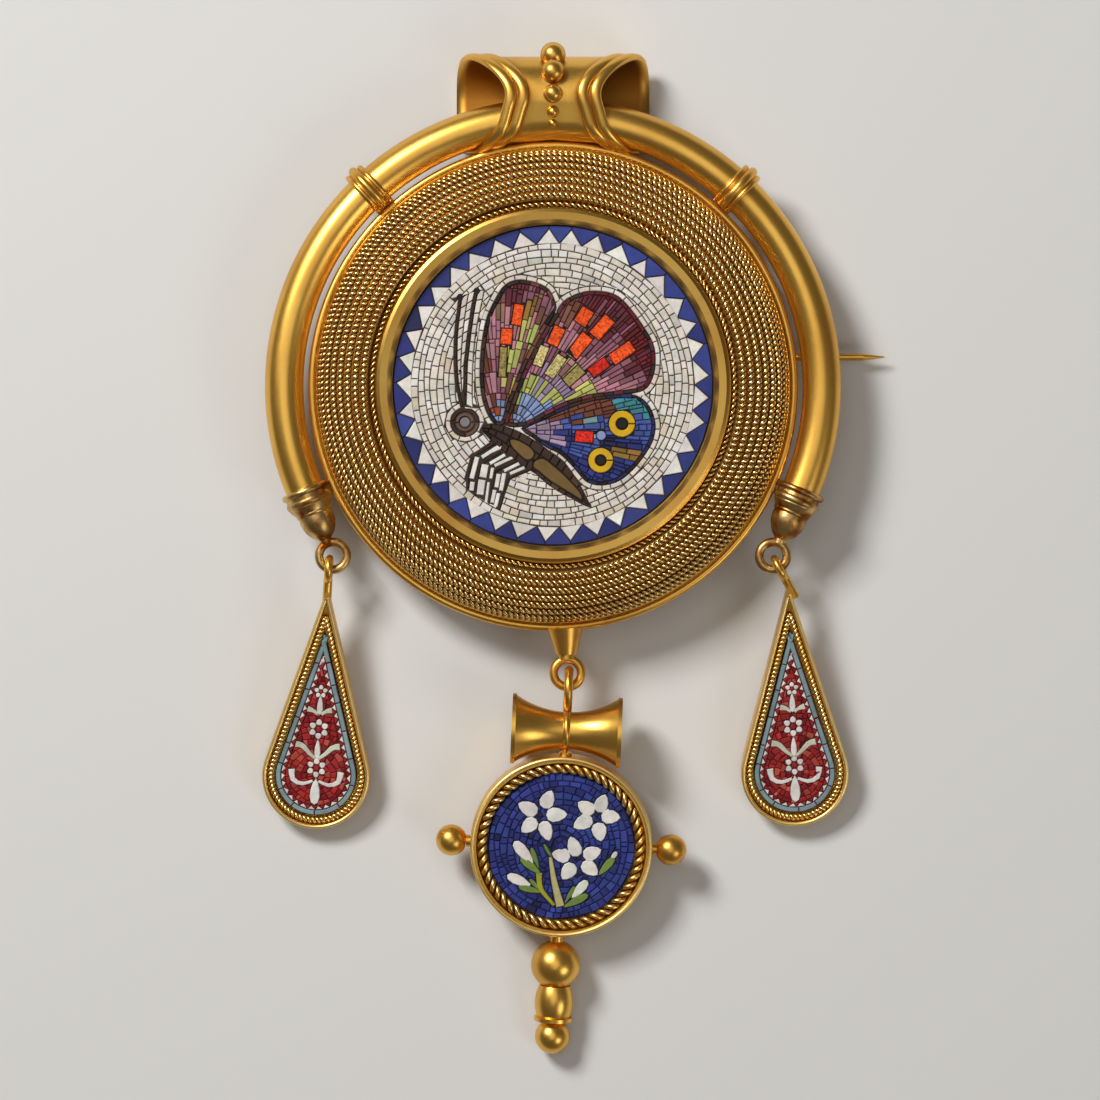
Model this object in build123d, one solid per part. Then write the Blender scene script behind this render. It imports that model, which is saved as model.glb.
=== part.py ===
from build123d import *
from math import asin, atan2, cos, degrees, hypot, pi, radians, sin
import os

# Micromosaic brooch in yellow gold: a round mosaic in a domed border of rope wire, held in a crescent tube
# with a ribbon bail on top, two teardrops at the tube's ends and a round drop below.
# Millimetres. The brooch lies on its back. The origin is on the disc's axis, level with what it lies on.
# +Z is up, out of the mosaic's face, +Y is towards the bail and +X towards the pin's tip.

# Gap between pieces that are soldered or set into each other
seat_gap = 0.03

# Round case: back plate, side wall and rim wire
disc_r = 18.4
rim_wire_r = 0.3
rim_wall = 0.35
plate_t = 0.6
back_gap = 3.4

# Domed border of rope wires round the mosaic
rope_r = 0.315
dome_h = 2.3
dome_sheet = 0.4
dome_rim_step = 0.2
groove_w = 0.57
inner_rope_r = 0.17
ledge_drop = 0.55

# Main mosaic and its bezel
mosaic_r = 12.0
mosaic_sink = 0.3
bezel_w = 1.3
bezel_rise = 0.4
bezel_lip = 0.4

# Crescent tube that stands round the disc
tube_r = 1.45
tube_wall = 0.35
tube_gap = 0.35
tube_end_deg = 23.0
collar_deg = 43.0
collar_r = 2.15
collar_wire_r = 0.36
collar_side_wire_r = 0.22

# Caps on the tube's ends, each with a ring for a teardrop
cap_ring_r = 1.8
cap_ring_wire_r = 0.38
cap_len = 3.9
cap_neck_r = 0.45
cap_sleeve = 0.2
cap_sleeve_len = 1.1
cap_skirt = 0.25
cap_step = 0.9
cap_dome_inset = 0.5
cap_dome_swell = 0.25
cap_bead_r = 0.22
ring_mean_r = 1.04
ring_wire_r = 0.33

# Stub with a ring at the bottom of the case
stub_deg = -87.1
stub_r = 1.35
stub_tip_r = 0.75
stub_len = 2.0

# Ribbon bail: a thin strap round the tube, its ends cut to a curve and edged with two wires
bail_top_r = 3.05
bail_rise = 1.6
strap_t = 0.25
bail_cut_r = 7.3
bail_rim_w = 0.58
bail_rim_gap = 0.2
bail_rim_h = 0.25
bail_ease = 1.5

# Granules down the bail's front, as shares of the bail's larger radius
granule_shares = [0.295, 0.256, 0.216, 0.164, 0.125]
granule_start_deg = 61.0
granule_lift = 0.55

# Teardrops
tear_r = 4.05
tear_len = 14.48
tear_t = 1.5
tear_back = 0.5
tear_wall = 0.27
tear_rope_r = 0.32
tear_neck = 1.36
tear_neck_r = 0.34
tear_loop_r = 0.8
tear_loop_wire_r = 0.3
tear_mosaic_sink = 0.22
left_tear_ring_deg = -107.5
left_tear_tilt_deg = 3.9
left_loop_turn_deg = 0.0
right_tear_ring_deg = -62.0
right_tear_tilt_deg = -2.4
right_loop_turn_deg = 26.0

# Round drop: loop, spool, framed mosaic, side balls and finial
drop_tilt_deg = 2.6
drop_loop_r = 1.42
drop_loop_wire_r = 0.33
drop_loop_slack = 0.17
spool_len = 8.25
spool_flange_r = 2.65
spool_waist_r = 1.4
spool_lip = 0.3
spool_rib_r = 0.24
frame_r = 6.85
frame_t = 2.2
frame_back = 0.5
frame_wall = 0.45
frame_rope_r = 0.42
frame_mosaic_sink = 0.3
frame_neck = 0.46
frame_neck_r = 0.5
side_ball_r = 1.18
side_neck = 0.25
side_neck_r = 0.45
finial_ball_r = 1.87
finial_neck = 0.45
barrel_r = 1.46
barrel_len = 2.7
barrel_flange = 0.28
tip_ball_r = 1.33

# Pin, its hinge and its catch on the back
pin_y = 2.3
hinge_inset = 4.4
catch_inset = 4.9
pin_reach = 3.45
pin_r = 0.4
pin_tip_r = 0.27
pin_point = 1.6
hinge_r = 1.15
cheek_t = 0.7
knuckle_w = 1.5
knuckle_r = 0.95
rivet_r = 0.4
rivet_play = 0.05
cheek_play = 0.1
catch_r = 1.15
catch_wall = 0.45
catch_w = 1.8
catch_clear = 0.12

# Levels and radii that follow from the sizes above
rim_z = back_gap + plate_t + rim_wire_r
plate_top = back_gap + plate_t + seat_gap
dome_z = rim_z + rim_wire_r
dome_out = disc_r - rim_wire_r - dome_rim_step
crest_z = dome_z + dome_h
ledge_z = crest_z - ledge_drop
mosaic_z = crest_z - mosaic_sink
bezel_z = crest_z + bezel_rise
bezel_r = mosaic_r + bezel_w
band_r = bezel_r + seat_gap
dome_in = band_r + groove_w
ring_path_r = disc_r + tube_gap + tube_r
ring_centre_s = cap_len + ring_wire_r + ring_mean_r
bail_low_r = tube_r + seat_gap + strap_t
bail_y = ring_path_r + bail_rise
bail_z = bail_top_r + bail_rim_h
tear_half = asin(tear_r / tear_len)
spool_y = -(drop_loop_r + drop_loop_wire_r + spool_waist_r)
frame_y = spool_y - spool_waist_r - frame_neck - frame_r
finial_y = frame_y - frame_r - finial_neck - finial_ball_r
barrel_y = finial_y - finial_ball_r + 0.3 - barrel_len / 2
tip_y = barrel_y - barrel_len / 2 - tip_ball_r + 0.1
hinge_x = hinge_inset - disc_r
catch_x = disc_r - catch_inset
pin_tip_x = ring_path_r + tube_r + pin_reach


def polar(radius, angle_deg):
    """A point at a radius and angle about the disc's axis."""
    return radius * cos(radians(angle_deg)), radius * sin(radians(angle_deg))


def solid_of_revolution(face, axis):
    """A flat face turned once all the way round an axis."""
    return revolve(face, axis=axis, revolution_arc=360)


def profile(points):
    """A flat face in the XZ plane, from (radius, height) corners."""
    return make_face(Polyline([(r, 0, z) for r, z in points], close=True))


def wire_section(radius, height, wire_r):
    """A round wire's section in the XZ plane, centred at a radius and a height."""
    return Plane(origin=(radius, 0, height), z_dir=(0, -1, 0)) * Circle(wire_r)


def rope_places():
    """Centres of the rope wires, evenly spaced along the quarter ellipse of the dome's section."""
    reach = dome_out - dome_in
    steps = 400
    points = []
    for step in range(steps + 1):
        turn = pi / 2 * step / steps
        points.append((dome_in + reach * sin(turn), dome_z + dome_h * cos(turn)))
    lengths = [0.0]
    for near, far in zip(points, points[1:]):
        lengths.append(lengths[-1] + hypot(far[0] - near[0], far[1] - near[1]))
    rows = max(2, round(lengths[-1] / (2 * rope_r)))
    places = []
    for row in range(rows):
        wanted = (row + 0.5) * lengths[-1] / rows
        places.append(next(point for point, run in zip(points, lengths) if run >= wanted))
    return places


def make_case():
    """Back plate, side wall, rim wire, stub with its ring, hinge cheeks and catch, soldered into one."""
    case = Pos(0, 0, back_gap + plate_t / 2) * Cylinder(disc_r - rim_wire_r, plate_t)
    wall_h = rim_z - back_gap
    wall = Cylinder(disc_r - rim_wire_r, wall_h) - Cylinder(disc_r - rim_wire_r - rim_wall, wall_h)
    case += Pos(0, 0, back_gap + wall_h / 2) * wall
    case += Pos(0, 0, rim_z) * Torus(disc_r - rim_wire_r, rim_wire_r)
    case += stub_and_ring()
    case += hinge_cheeks()
    return case + catch_hook()


def stub_and_ring():
    """Cone and neck that stand out of the rim at the bottom, with the flat ring that the round drop hangs on."""
    x, y = polar(disc_r - 0.2, stub_deg)
    outward = Plane(origin=(x, y, rim_z), z_dir=(*polar(1, stub_deg), 0))
    cone = Cone(stub_r, stub_tip_r, stub_len, align=(Align.CENTER, Align.CENTER, Align.MIN))
    neck = Cylinder(stub_tip_r * 0.8, stub_len + ring_wire_r, align=(Align.CENTER, Align.CENTER, Align.MIN))
    ring_x, ring_y = bottom_ring_centre()
    ring = Pos(ring_x, ring_y, rim_z) * Torus(ring_mean_r, ring_wire_r)
    return outward.location * (cone + neck) + ring


def bottom_ring_centre():
    """Centre of the ring on the stub, in the picture plane."""
    return polar(disc_r - 0.2 + stub_len + ring_wire_r + ring_mean_r, stub_deg)


def hinge_cheeks():
    """Two rounded cheeks under the back plate, bored for the rivet."""
    cheek = Pos(0, 0, (back_gap + hinge_r) / 2) * Box(2 * hinge_r, cheek_t, back_gap - hinge_r)
    cheek += Pos(0, 0, hinge_r) * Rot(90, 0, 0) * Cylinder(hinge_r, cheek_t)
    cheek -= Pos(0, 0, hinge_r) * Rot(90, 0, 0) * Cylinder(rivet_r + seat_gap, 2 * cheek_t)
    reach = knuckle_w / 2 + cheek_play + cheek_t / 2
    near = Pos(hinge_x, pin_y - reach, 0) * cheek
    return near + Pos(hinge_x, pin_y + reach, 0) * cheek


def catch_hook():
    """A strip bent to a C, its mouth towards -Y, where the stem lies just outside it."""
    stem_r = pin_r + (pin_tip_r - pin_r) * (catch_x - hinge_x) / (pin_tip_x - pin_point - hinge_x)
    mouth_y = pin_y + stem_r + catch_clear
    hook_y = mouth_y + (catch_r - catch_wall) / 3
    hook = Cylinder(catch_r, catch_w) - Cylinder(catch_r - catch_wall, catch_w)
    hook = Pos(catch_x, hook_y, catch_r) * Rot(0, 90, 0) * hook
    hook -= Pos(catch_x, mouth_y - catch_r, catch_r) * Box(2 * catch_w, 2 * catch_r, 3 * catch_r)
    post_y = hook_y + catch_r - catch_wall / 2
    post_h = back_gap - catch_r
    return hook + Pos(catch_x, post_y, catch_r + post_h / 2) * Box(catch_w, catch_wall, post_h)


def make_rivet():
    """Plain rivet across both cheeks and the pin's knuckle."""
    length = knuckle_w + 2 * cheek_play + 2 * cheek_t
    return Pos(hinge_x, pin_y, hinge_r) * Rot(90, 0, 0) * Cylinder(rivet_r, length)


def make_pin():
    """Tapered stem with a sharp point, one with the knuckle that turns on the rivet."""
    stem_end = pin_tip_x - pin_point
    along = (Align.CENTER, Align.CENTER, Align.MIN)
    lying = Pos(hinge_x, pin_y, hinge_r) * Rot(0, 90, 0)
    pin = lying * Cone(pin_r, pin_tip_r, stem_end - hinge_x, align=along)
    pin += Pos(stem_end, pin_y, hinge_r) * Rot(0, 90, 0) * Cone(pin_tip_r, 0.05, pin_point, align=along)
    pin += Pos(hinge_x, pin_y, hinge_r) * Rot(90, 0, 0) * Cylinder(knuckle_r, knuckle_w)
    return pin - Pos(hinge_x, pin_y, hinge_r) * Rot(90, 0, 0) * Cylinder(rivet_r + rivet_play, 2 * knuckle_w)


def make_rope_border():
    """Sheet dome on an inner and an outer wall, with rope wires side by side and a thin one at its ledge."""
    reach = dome_out - dome_in
    foot_r = disc_r - rim_wire_r - rim_wall - seat_gap
    inner_wall = band_r + dome_sheet
    outer = EllipticalCenterArc((dome_in, dome_z), reach, dome_h, start_angle=0, arc_size=90)
    inner = EllipticalCenterArc((dome_in, dome_z), reach - dome_sheet, dome_h - dome_sheet, 0, arc_size=90)
    lead = [
        (dome_in, crest_z), (dome_in, ledge_z), (band_r, ledge_z), (band_r, plate_top),
        (inner_wall, plate_top), (inner_wall, crest_z - dome_sheet - ledge_drop),
        (dome_in, crest_z - dome_sheet - ledge_drop), (dome_in, crest_z - dome_sheet),
    ]
    tail = [
        (dome_out - dome_sheet, dome_z), (foot_r - dome_sheet, dome_z), (foot_r - dome_sheet, plate_top),
        (foot_r, plate_top), (foot_r, dome_z), (dome_out, dome_z),
    ]
    section = Plane.XZ * make_face([outer, Polyline(lead), inner, Polyline(tail)])
    for radius, height in rope_places():
        section += wire_section(radius, height, rope_r)
    section += wire_section(band_r + inner_rope_r, ledge_z, inner_rope_r)
    return solid_of_revolution(section, Axis.Z)


def make_bezel():
    """Collar that holds the mosaic, its top a little sloped and its inner edge chamfered to a thin lip."""
    low_lip = mosaic_z + 0.1
    return solid_of_revolution(profile([
        (mosaic_r, plate_top), (bezel_r, plate_top), (bezel_r, bezel_z - 0.3), (bezel_r - 0.12, bezel_z - 0.1),
        (bezel_r - 0.35, bezel_z), (mosaic_r + bezel_lip, bezel_z - 0.05), (mosaic_r + 0.1, low_lip + 0.08),
        (mosaic_r, low_lip),
    ]), Axis.Z)


def make_main_mosaic():
    """Disc of tesserae in its bed, inside the bezel."""
    height = mosaic_z - plate_top
    return Pos(0, 0, plate_top + height / 2) * Cylinder(mosaic_r - seat_gap, height)


def make_tube():
    """Hollow tube bent to a crescent, with two wire collars that are filed flat where they meet the rim."""
    start = -tube_end_deg
    section_at = Plane(origin=(*polar(ring_path_r, start), rim_z), x_dir=(*polar(1, start), 0),
                       z_dir=(*polar(1, start - 90), 0))
    section = section_at * (Circle(tube_r) - Circle(tube_r - tube_wall))
    tube = revolve(section, axis=Axis.Z, revolution_arc=180 + 2 * tube_end_deg)
    for side in (-1, 1):
        tube += tube_place(90 + side * collar_deg) * collar()
    return tube


def tube_place(angle):
    """Place on the tube's line at an angle: x points away from the disc's axis and z along the tube."""
    return Plane(origin=(*polar(ring_path_r, angle), rim_z), x_dir=(*polar(1, angle), 0),
                 z_dir=(*polar(1, angle + 90), 0)).location


def collar():
    """One thick wire between two thin ones, turned about the tube's line, with a flat towards the disc."""
    step = collar_wire_r + collar_side_wire_r
    inner = tube_r - tube_wall / 2
    outer = collar_r - collar_wire_r
    section = profile([(inner, -step), (outer, -step), (outer, step), (inner, step)])
    section += wire_section(outer, 0, collar_wire_r)
    for side in (-1, 1):
        section += wire_section(collar_r - 0.25 - collar_side_wire_r, side * step, collar_side_wire_r)
    flat_x = disc_r + seat_gap - ring_path_r
    return solid_of_revolution(section, Axis.Z) - Pos(flat_x - collar_r, 0, 0) * Box(
        2 * collar_r, 4 * collar_r, 4 * collar_r)


def left_ring_centre():
    """Centre of the ring at the left cap's tip, in the picture plane."""
    end = 180 + tube_end_deg
    x, y = polar(ring_path_r, end)
    dx, dy = polar(ring_centre_s, end + 90)
    return x + dx, y + dy


def make_left_cap():
    """Stepped and domed cap over the tube's end, turned about the tube's own line, with a ring at its tip."""
    end = 180 + tube_end_deg
    sleeve_r = tube_r + seat_gap + cap_sleeve
    dome_r = cap_ring_r - cap_dome_inset
    dome_start = 2.4 * cap_ring_wire_r + cap_step
    tip = cap_len + ring_wire_r
    body = [(0, -cap_skirt), (sleeve_r, -cap_skirt), (sleeve_r, cap_sleeve_len), (dome_r, dome_start)]
    edge = ThreePointArc(
        (dome_r, dome_start),
        ((dome_r + cap_neck_r) / 2 + cap_dome_swell, (dome_start + cap_len) / 2 + cap_dome_swell),
        (cap_neck_r, cap_len))
    close = [(cap_neck_r, cap_len), (cap_neck_r, tip), (0, tip), (0, -cap_skirt)]
    section = Plane.XZ * make_face([Polyline(body), edge, Polyline(close)])
    section += wire_section(sleeve_r - cap_sleeve / 4, 0.0, cap_skirt)
    section += wire_section(cap_ring_r - cap_ring_wire_r, 2 * cap_ring_wire_r, cap_ring_wire_r)
    section += wire_section(dome_r - cap_bead_r / 2, dome_start - cap_bead_r / 2, cap_bead_r)
    cap = solid_of_revolution(section, Axis.Z)
    cap -= Pos(0, 0, -2 * cap_skirt) * Cylinder(tube_r + seat_gap, 4 * cap_skirt + 2 * seat_gap)
    ring_x, ring_y = left_ring_centre()
    return tube_place(end) * cap + Pos(ring_x, ring_y, rim_z) * Torus(ring_mean_r, ring_wire_r)


def bail_outline(extra):
    """Section of the bail across its length: one round over the tube and a larger one above and behind it."""
    low = Pos(ring_path_r, rim_z) * Circle(bail_low_r + extra)
    top = Pos(bail_y, bail_z) * Circle(bail_top_r + extra)
    hull = make_hull(low.edges() + top.edges())
    return Plane.YZ * hull


def bail_bar(extra):
    """Solid bar with the bail's section, wide enough for both curved ends to be cut out of it."""
    return extrude(bail_outline(extra), amount=bail_cut_r, both=True)


def bail_cutter(shift):
    """Upright cylinder that gives the strap's ends their curve, moved along the strap by a shift."""
    return Pos(shift, bail_y, 0) * Rot(90, 0, 0) * Cylinder(bail_cut_r, 8 * bail_top_r)


def make_bail():
    """Strap with curved ends, two edge wires at each end and a row of granules down its front."""
    bail = (bail_bar(0) - bail_bar(-strap_t)) & bail_cutter(0)
    raised = bail_bar(bail_rim_h) - bail_bar(-strap_t)
    lip_y = ring_path_r - tube_r
    room = Pos(0, lip_y, 0) * Box(20 * bail_top_r, 20 * bail_top_r, 20 * bail_top_r,
                                  align=(Align.CENTER, Align.MIN, Align.CENTER))
    for side in (-1, 1):
        half = Pos(side * bail_cut_r, bail_y, 0) * Box(2 * bail_cut_r, 8 * bail_top_r, 8 * bail_top_r)
        for wire in (0, 1):
            inset = wire * (bail_rim_w + bail_rim_gap)
            rim = raised & half & bail_cutter(-side * inset)
            bail += (rim - bail_cutter(-side * (inset + bail_rim_w))) & room
    bail -= Pos(0, 0, rim_z) * Torus(ring_path_r, tube_r + bail_ease * seat_gap)
    bail -= Pos(0, 0, rim_z) * Cylinder(disc_r + seat_gap, 8 * bail_top_r)
    for y, z, radius in granule_places():
        bail += Pos(0, y, z) * Sphere(radius)
    return bail


def granule_places():
    """Granules that touch each other down the front of the strap: round its large end, then along its flat."""
    dy, dz = bail_y - ring_path_r, bail_z - rim_z
    flat = atan2(-dz, dy) + asin((bail_low_r - bail_top_r) / hypot(dy, dz))
    start = radians(granule_start_deg)
    places = []
    run = 0.0
    for index, share in enumerate(granule_shares):
        radius = share * bail_top_r
        if index:
            near = radius + granule_shares[index - 1] * bail_top_r
            run += near * bail_top_r / (bail_top_r + granule_lift * radius)
        turn = max(start - run / bail_top_r, flat)
        along = max(0.0, run - (start - flat) * bail_top_r)
        lift = bail_top_r + granule_lift * radius
        y = bail_y + lift * sin(turn) - along * cos(flat)
        z = bail_z + lift * cos(turn) + along * sin(flat)
        places.append((y, z, radius))
    return places


def tear_face(inset):
    """Teardrop outline: a circle with its two tangents to the point, moved inwards by an inset."""
    radius = tear_r - inset
    centre_y = -(tear_neck + tear_len)
    tip = (0, centre_y + radius / sin(tear_half))
    touch_x = radius * cos(tear_half)
    touch_y = centre_y + radius * sin(tear_half)
    arc = ThreePointArc((-touch_x, touch_y), (0, centre_y - radius), (touch_x, touch_y))
    return make_face([arc, Line((touch_x, touch_y), tip), Line(tip, (-touch_x, touch_y))])


def tear_wire(inset, wire_r):
    """Round wire along a teardrop: the round end, two straight sides and a ball at the point."""
    radius = tear_r - inset
    centre_y = -(tear_neck + tear_len)
    tip_y = centre_y + radius / sin(tear_half)
    side = radius / sin(tear_half) * cos(tear_half)
    turn = 180 + 2 * degrees(tear_half)
    bow = Plane(origin=(radius, 0, 0), x_dir=(1, 0, 0), z_dir=(0, 1, 0)) * Circle(wire_r)
    section = Rot(0, 0, -180 - degrees(tear_half)) * bow
    wire = Pos(0, centre_y, 0) * revolve(section, axis=Axis.Z, revolution_arc=turn)
    for hand in (-1, 1):
        down = Plane(origin=(0, tip_y, 0), z_dir=(hand * sin(tear_half), -cos(tear_half), 0))
        wire += down.location * Cylinder(wire_r, side, align=(Align.CENTER, Align.CENTER, Align.MIN))
    return wire + Pos(0, tip_y, 0) * Sphere(wire_r)


def make_tear_frame(loop_turn_deg):
    """Shallow tray in the teardrop outline, with a loop at its point that is turned about the point."""
    tray = Pos(0, 0, -tear_t / 2) * extrude(tear_face(0), amount=tear_t)
    tray -= Pos(0, 0, -tear_t / 2 + tear_back) * extrude(tear_face(tear_wall), amount=tear_t)
    neck = Pos(0, -tear_loop_r, 0) * Rot(90, 0, 0) * Cylinder(
        tear_neck_r, tear_neck + 0.4, align=(Align.CENTER, Align.CENTER, Align.MIN))
    loop = Rot(0, 90, 0) * Torus(tear_loop_r, tear_loop_wire_r)
    loop += neck - Rot(0, 90, 0) * Cylinder(tear_loop_r, 4 * tear_neck_r)
    return tray + Pos(0, -tear_neck, 0) * Rot(0, 0, loop_turn_deg) * Pos(0, tear_neck, 0) * loop


def make_tear_rope():
    """Rope wire just inside a teardrop's edge."""
    inset = tear_wall + seat_gap + tear_rope_r
    return Pos(0, 0, tear_t / 2 - 0.25) * tear_wire(inset, tear_rope_r)


def make_tear_mosaic():
    """Plate of tesserae inside a teardrop's rope."""
    floor = -tear_t / 2 + tear_back + seat_gap
    inset = tear_wall + 2 * seat_gap + 2 * tear_rope_r
    height = tear_t / 2 - tear_mosaic_sink - floor
    return Pos(0, 0, floor) * extrude(tear_face(inset), amount=height)


def lean_to_rest(length, depth, height):
    """Angle at which a bar hung at a height lies with its far end down: length along it, depth below it."""
    return asin(min(1, height / hypot(length, depth))) - atan2(depth, length)


def tear_place(ring, ring_deg, tilt_deg, loop_turn_deg):
    """Place of a teardrop, moved so that its turned loop still lies on the ring's wire."""
    turn = radians(loop_turn_deg)
    moved = Pos(tear_neck * sin(turn), tear_neck * (1 - cos(turn)), 0)
    return hung_place(ring, 0, ring_deg, tilt_deg, tear_lean) * moved


def hung_place(ring, slack, ring_deg, tilt_deg, lean):
    """Place of a drop: its loop on the ring's wire, turned in the picture plane and leaning to its far end."""
    dx, dy = polar(ring_mean_r + slack, ring_deg)
    tilt = radians(tilt_deg)
    return Plane(
        origin=(ring[0] + dx, ring[1] + dy, rim_z), x_dir=(cos(tilt), -sin(tilt), 0),
        z_dir=(-sin(tilt) * sin(lean), -cos(tilt) * sin(lean), cos(lean))).location


def make_spool():
    """Concave spool across the drop, with a loop above its waist and a wire round the waist."""
    half = spool_len / 2
    edge = ThreePointArc((-half + spool_lip, spool_flange_r - 0.12), (0, spool_waist_r),
                         (half - spool_lip, spool_flange_r - 0.12))
    left = Polyline([(-half, 0), (-half, spool_flange_r), (-half + spool_lip, spool_flange_r),
                     (-half + spool_lip, spool_flange_r - 0.12)])
    right = Polyline([(half - spool_lip, spool_flange_r - 0.12), (half - spool_lip, spool_flange_r),
                      (half, spool_flange_r), (half, 0), (-half, 0)])
    spool = solid_of_revolution(make_face([left, edge, right]), Axis.X)
    spool += Rot(0, 90, 0) * Torus(spool_waist_r, spool_rib_r)
    spool = Pos(0, spool_y, 0) * spool
    spool += Rot(0, 90, 0) * Torus(drop_loop_r, drop_loop_wire_r)
    weld_y = -(drop_loop_r + drop_loop_wire_r)
    return spool + Pos(0, weld_y, 0) * Rot(90, 0, 0) * Cylinder(drop_loop_wire_r, 2 * drop_loop_wire_r)


def make_round_frame():
    """Shallow round tray with a neck to the spool, a ball at each side and a turned finial below."""
    tray = Cylinder(frame_r, frame_t)
    tray -= Pos(0, 0, frame_back) * Cylinder(frame_r - frame_wall, frame_t)
    rise = frame_neck + spool_waist_r
    neck = Pos(0, frame_r - 0.3, 0) * Rot(-90, 0, 0) * Cylinder(
        frame_neck_r, rise + 0.3, align=(Align.CENTER, Align.CENTER, Align.MIN))
    spool_room = Pos(0, spool_y - frame_y, 0) * Rot(0, 90, 0) * Cylinder(
        spool_waist_r + spool_rib_r + seat_gap, 4 * frame_neck_r)
    tray += neck - spool_room
    ball_x = frame_r + side_neck + side_ball_r
    for side in (-1, 1):
        tray += Pos(side * (frame_r + ball_x) / 2, 0, 0) * Rot(0, 90, 0) * Cylinder(
            side_neck_r, ball_x - frame_r + 0.5)
        tray += Pos(side * ball_x, 0, 0) * Sphere(side_ball_r)
    return Pos(0, frame_y, 0) * tray + finial()


def finial():
    """Large ball, barrel with a flange and small ball, on one stem."""
    stem_len = frame_y - frame_r - tip_y
    stem = Pos(0, tip_y, 0) * Rot(-90, 0, 0) * Cylinder(
        frame_neck_r, stem_len + 0.3, align=(Align.CENTER, Align.CENTER, Align.MIN))
    half = barrel_len / 2
    curve = ThreePointArc((barrel_r * 0.8, half), (barrel_r, 0.1), (barrel_r * 0.86, -half + barrel_flange))
    rest = Polyline([(barrel_r * 0.86, -half + barrel_flange), (barrel_r, -half + barrel_flange),
                     (barrel_r, -half), (0, -half), (0, half), (barrel_r * 0.8, half)])
    barrel = solid_of_revolution(make_face([curve, rest]), Axis.Y)
    parts = Pos(0, finial_y, 0) * Sphere(finial_ball_r) + Pos(0, barrel_y, 0) * barrel
    return stem + parts + Pos(0, tip_y, 0) * Sphere(tip_ball_r)


def make_frame_rope():
    """Rope wire just inside the round drop's edge."""
    mean_r = frame_r - frame_wall - seat_gap - frame_rope_r
    return Pos(0, frame_y, frame_t / 2 - 0.35) * Torus(mean_r, frame_rope_r)


def make_frame_mosaic():
    """Round plate of tesserae inside the round drop's rope."""
    floor = -frame_t / 2 + frame_back + seat_gap
    radius = frame_r - frame_wall - 2 * seat_gap - 2 * frame_rope_r
    height = frame_t / 2 - frame_mosaic_sink - floor
    return Pos(0, frame_y, floor + height / 2) * Cylinder(radius, height)


left_ring = left_ring_centre()
right_ring = (-left_ring[0], left_ring[1])
tear_lean = lean_to_rest(tear_neck + tear_len + tear_r, tear_t / 2, rim_z)
drop_lean = asin((rim_z - tip_ball_r) / -tip_y)
tears = {
    "left": (left_ring, left_tear_ring_deg, left_tear_tilt_deg, left_loop_turn_deg),
    "right": (right_ring, right_tear_ring_deg, right_tear_tilt_deg, right_loop_turn_deg),
}
drop_place = hung_place(bottom_ring_centre(), drop_loop_slack, stub_deg, drop_tilt_deg, drop_lean)
left_cap = make_left_cap()

nodes = {
    "case": make_case(),
    "rope_border": make_rope_border(),
    "bezel": make_bezel(),
    "butterfly_mosaic": make_main_mosaic(),
    "crescent_tube": make_tube(),
    "left_cap": left_cap,
    "right_cap": mirror(left_cap, about=Plane.YZ),
    "bail": make_bail(),
    "spool": drop_place * make_spool(),
    "round_frame": drop_place * make_round_frame(),
    "round_rope": drop_place * make_frame_rope(),
    "flower_mosaic": drop_place * make_frame_mosaic(),
    "hinge_rivet": make_rivet(),
    "pin_stem": make_pin(),
}
for name, hanging in tears.items():
    place = tear_place(*hanging)
    nodes[name + "_tear_frame"] = place * make_tear_frame(hanging[-1])
    nodes[name + "_tear_rope"] = place * make_tear_rope()
    nodes[name + "_tear_mosaic"] = place * make_tear_mosaic()

os.makedirs("parts", exist_ok=True)
for name, shape in nodes.items():
    export_step(shape, "parts/" + name + ".step")
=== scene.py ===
"""Looks of a micromosaic brooch: twisted rope wires, ribbon bail, tesserae and gold round its CAD frame.

The arrays hold millimetres in the frame's axes, or on the flat of a mosaic, until a mesh is made of them.
"""

import bpy
import numpy as np
from bpy.props import FloatProperty, FloatVectorProperty, IntProperty, PointerProperty
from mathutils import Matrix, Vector


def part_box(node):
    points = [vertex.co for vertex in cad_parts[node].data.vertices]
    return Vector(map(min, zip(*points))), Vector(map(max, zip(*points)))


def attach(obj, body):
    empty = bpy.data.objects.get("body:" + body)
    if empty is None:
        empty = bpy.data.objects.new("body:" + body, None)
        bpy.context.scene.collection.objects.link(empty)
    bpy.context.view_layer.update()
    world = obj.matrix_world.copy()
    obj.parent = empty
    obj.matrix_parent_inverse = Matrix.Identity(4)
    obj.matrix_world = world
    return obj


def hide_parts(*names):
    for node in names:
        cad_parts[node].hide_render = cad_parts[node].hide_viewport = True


bl_info = {
    "name": "Micromosaic brooch",
    "version": (1, 0, 0),
    "blender": (4, 5, 0),
    "location": "3D View > Sidebar > Brooch",
    "description": "Dresses a micromosaic brooch with rope wires, a ribbon bail, tesserae and gold",
    "category": "Object",
}

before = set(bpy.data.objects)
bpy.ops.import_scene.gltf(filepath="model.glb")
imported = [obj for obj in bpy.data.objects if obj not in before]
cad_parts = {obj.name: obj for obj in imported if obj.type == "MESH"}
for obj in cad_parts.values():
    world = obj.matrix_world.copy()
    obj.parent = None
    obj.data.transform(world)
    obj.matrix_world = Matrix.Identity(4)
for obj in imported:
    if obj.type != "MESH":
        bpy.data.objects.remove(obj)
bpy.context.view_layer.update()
MM = 0.001
TAU = 2 * np.pi
BROOCH = "brooch"


def node_box(node):
    """Lowest and highest corner of a CAD node, in millimetres."""
    low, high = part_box(node)
    return np.array(low) / MM, np.array(high) / MM


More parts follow.
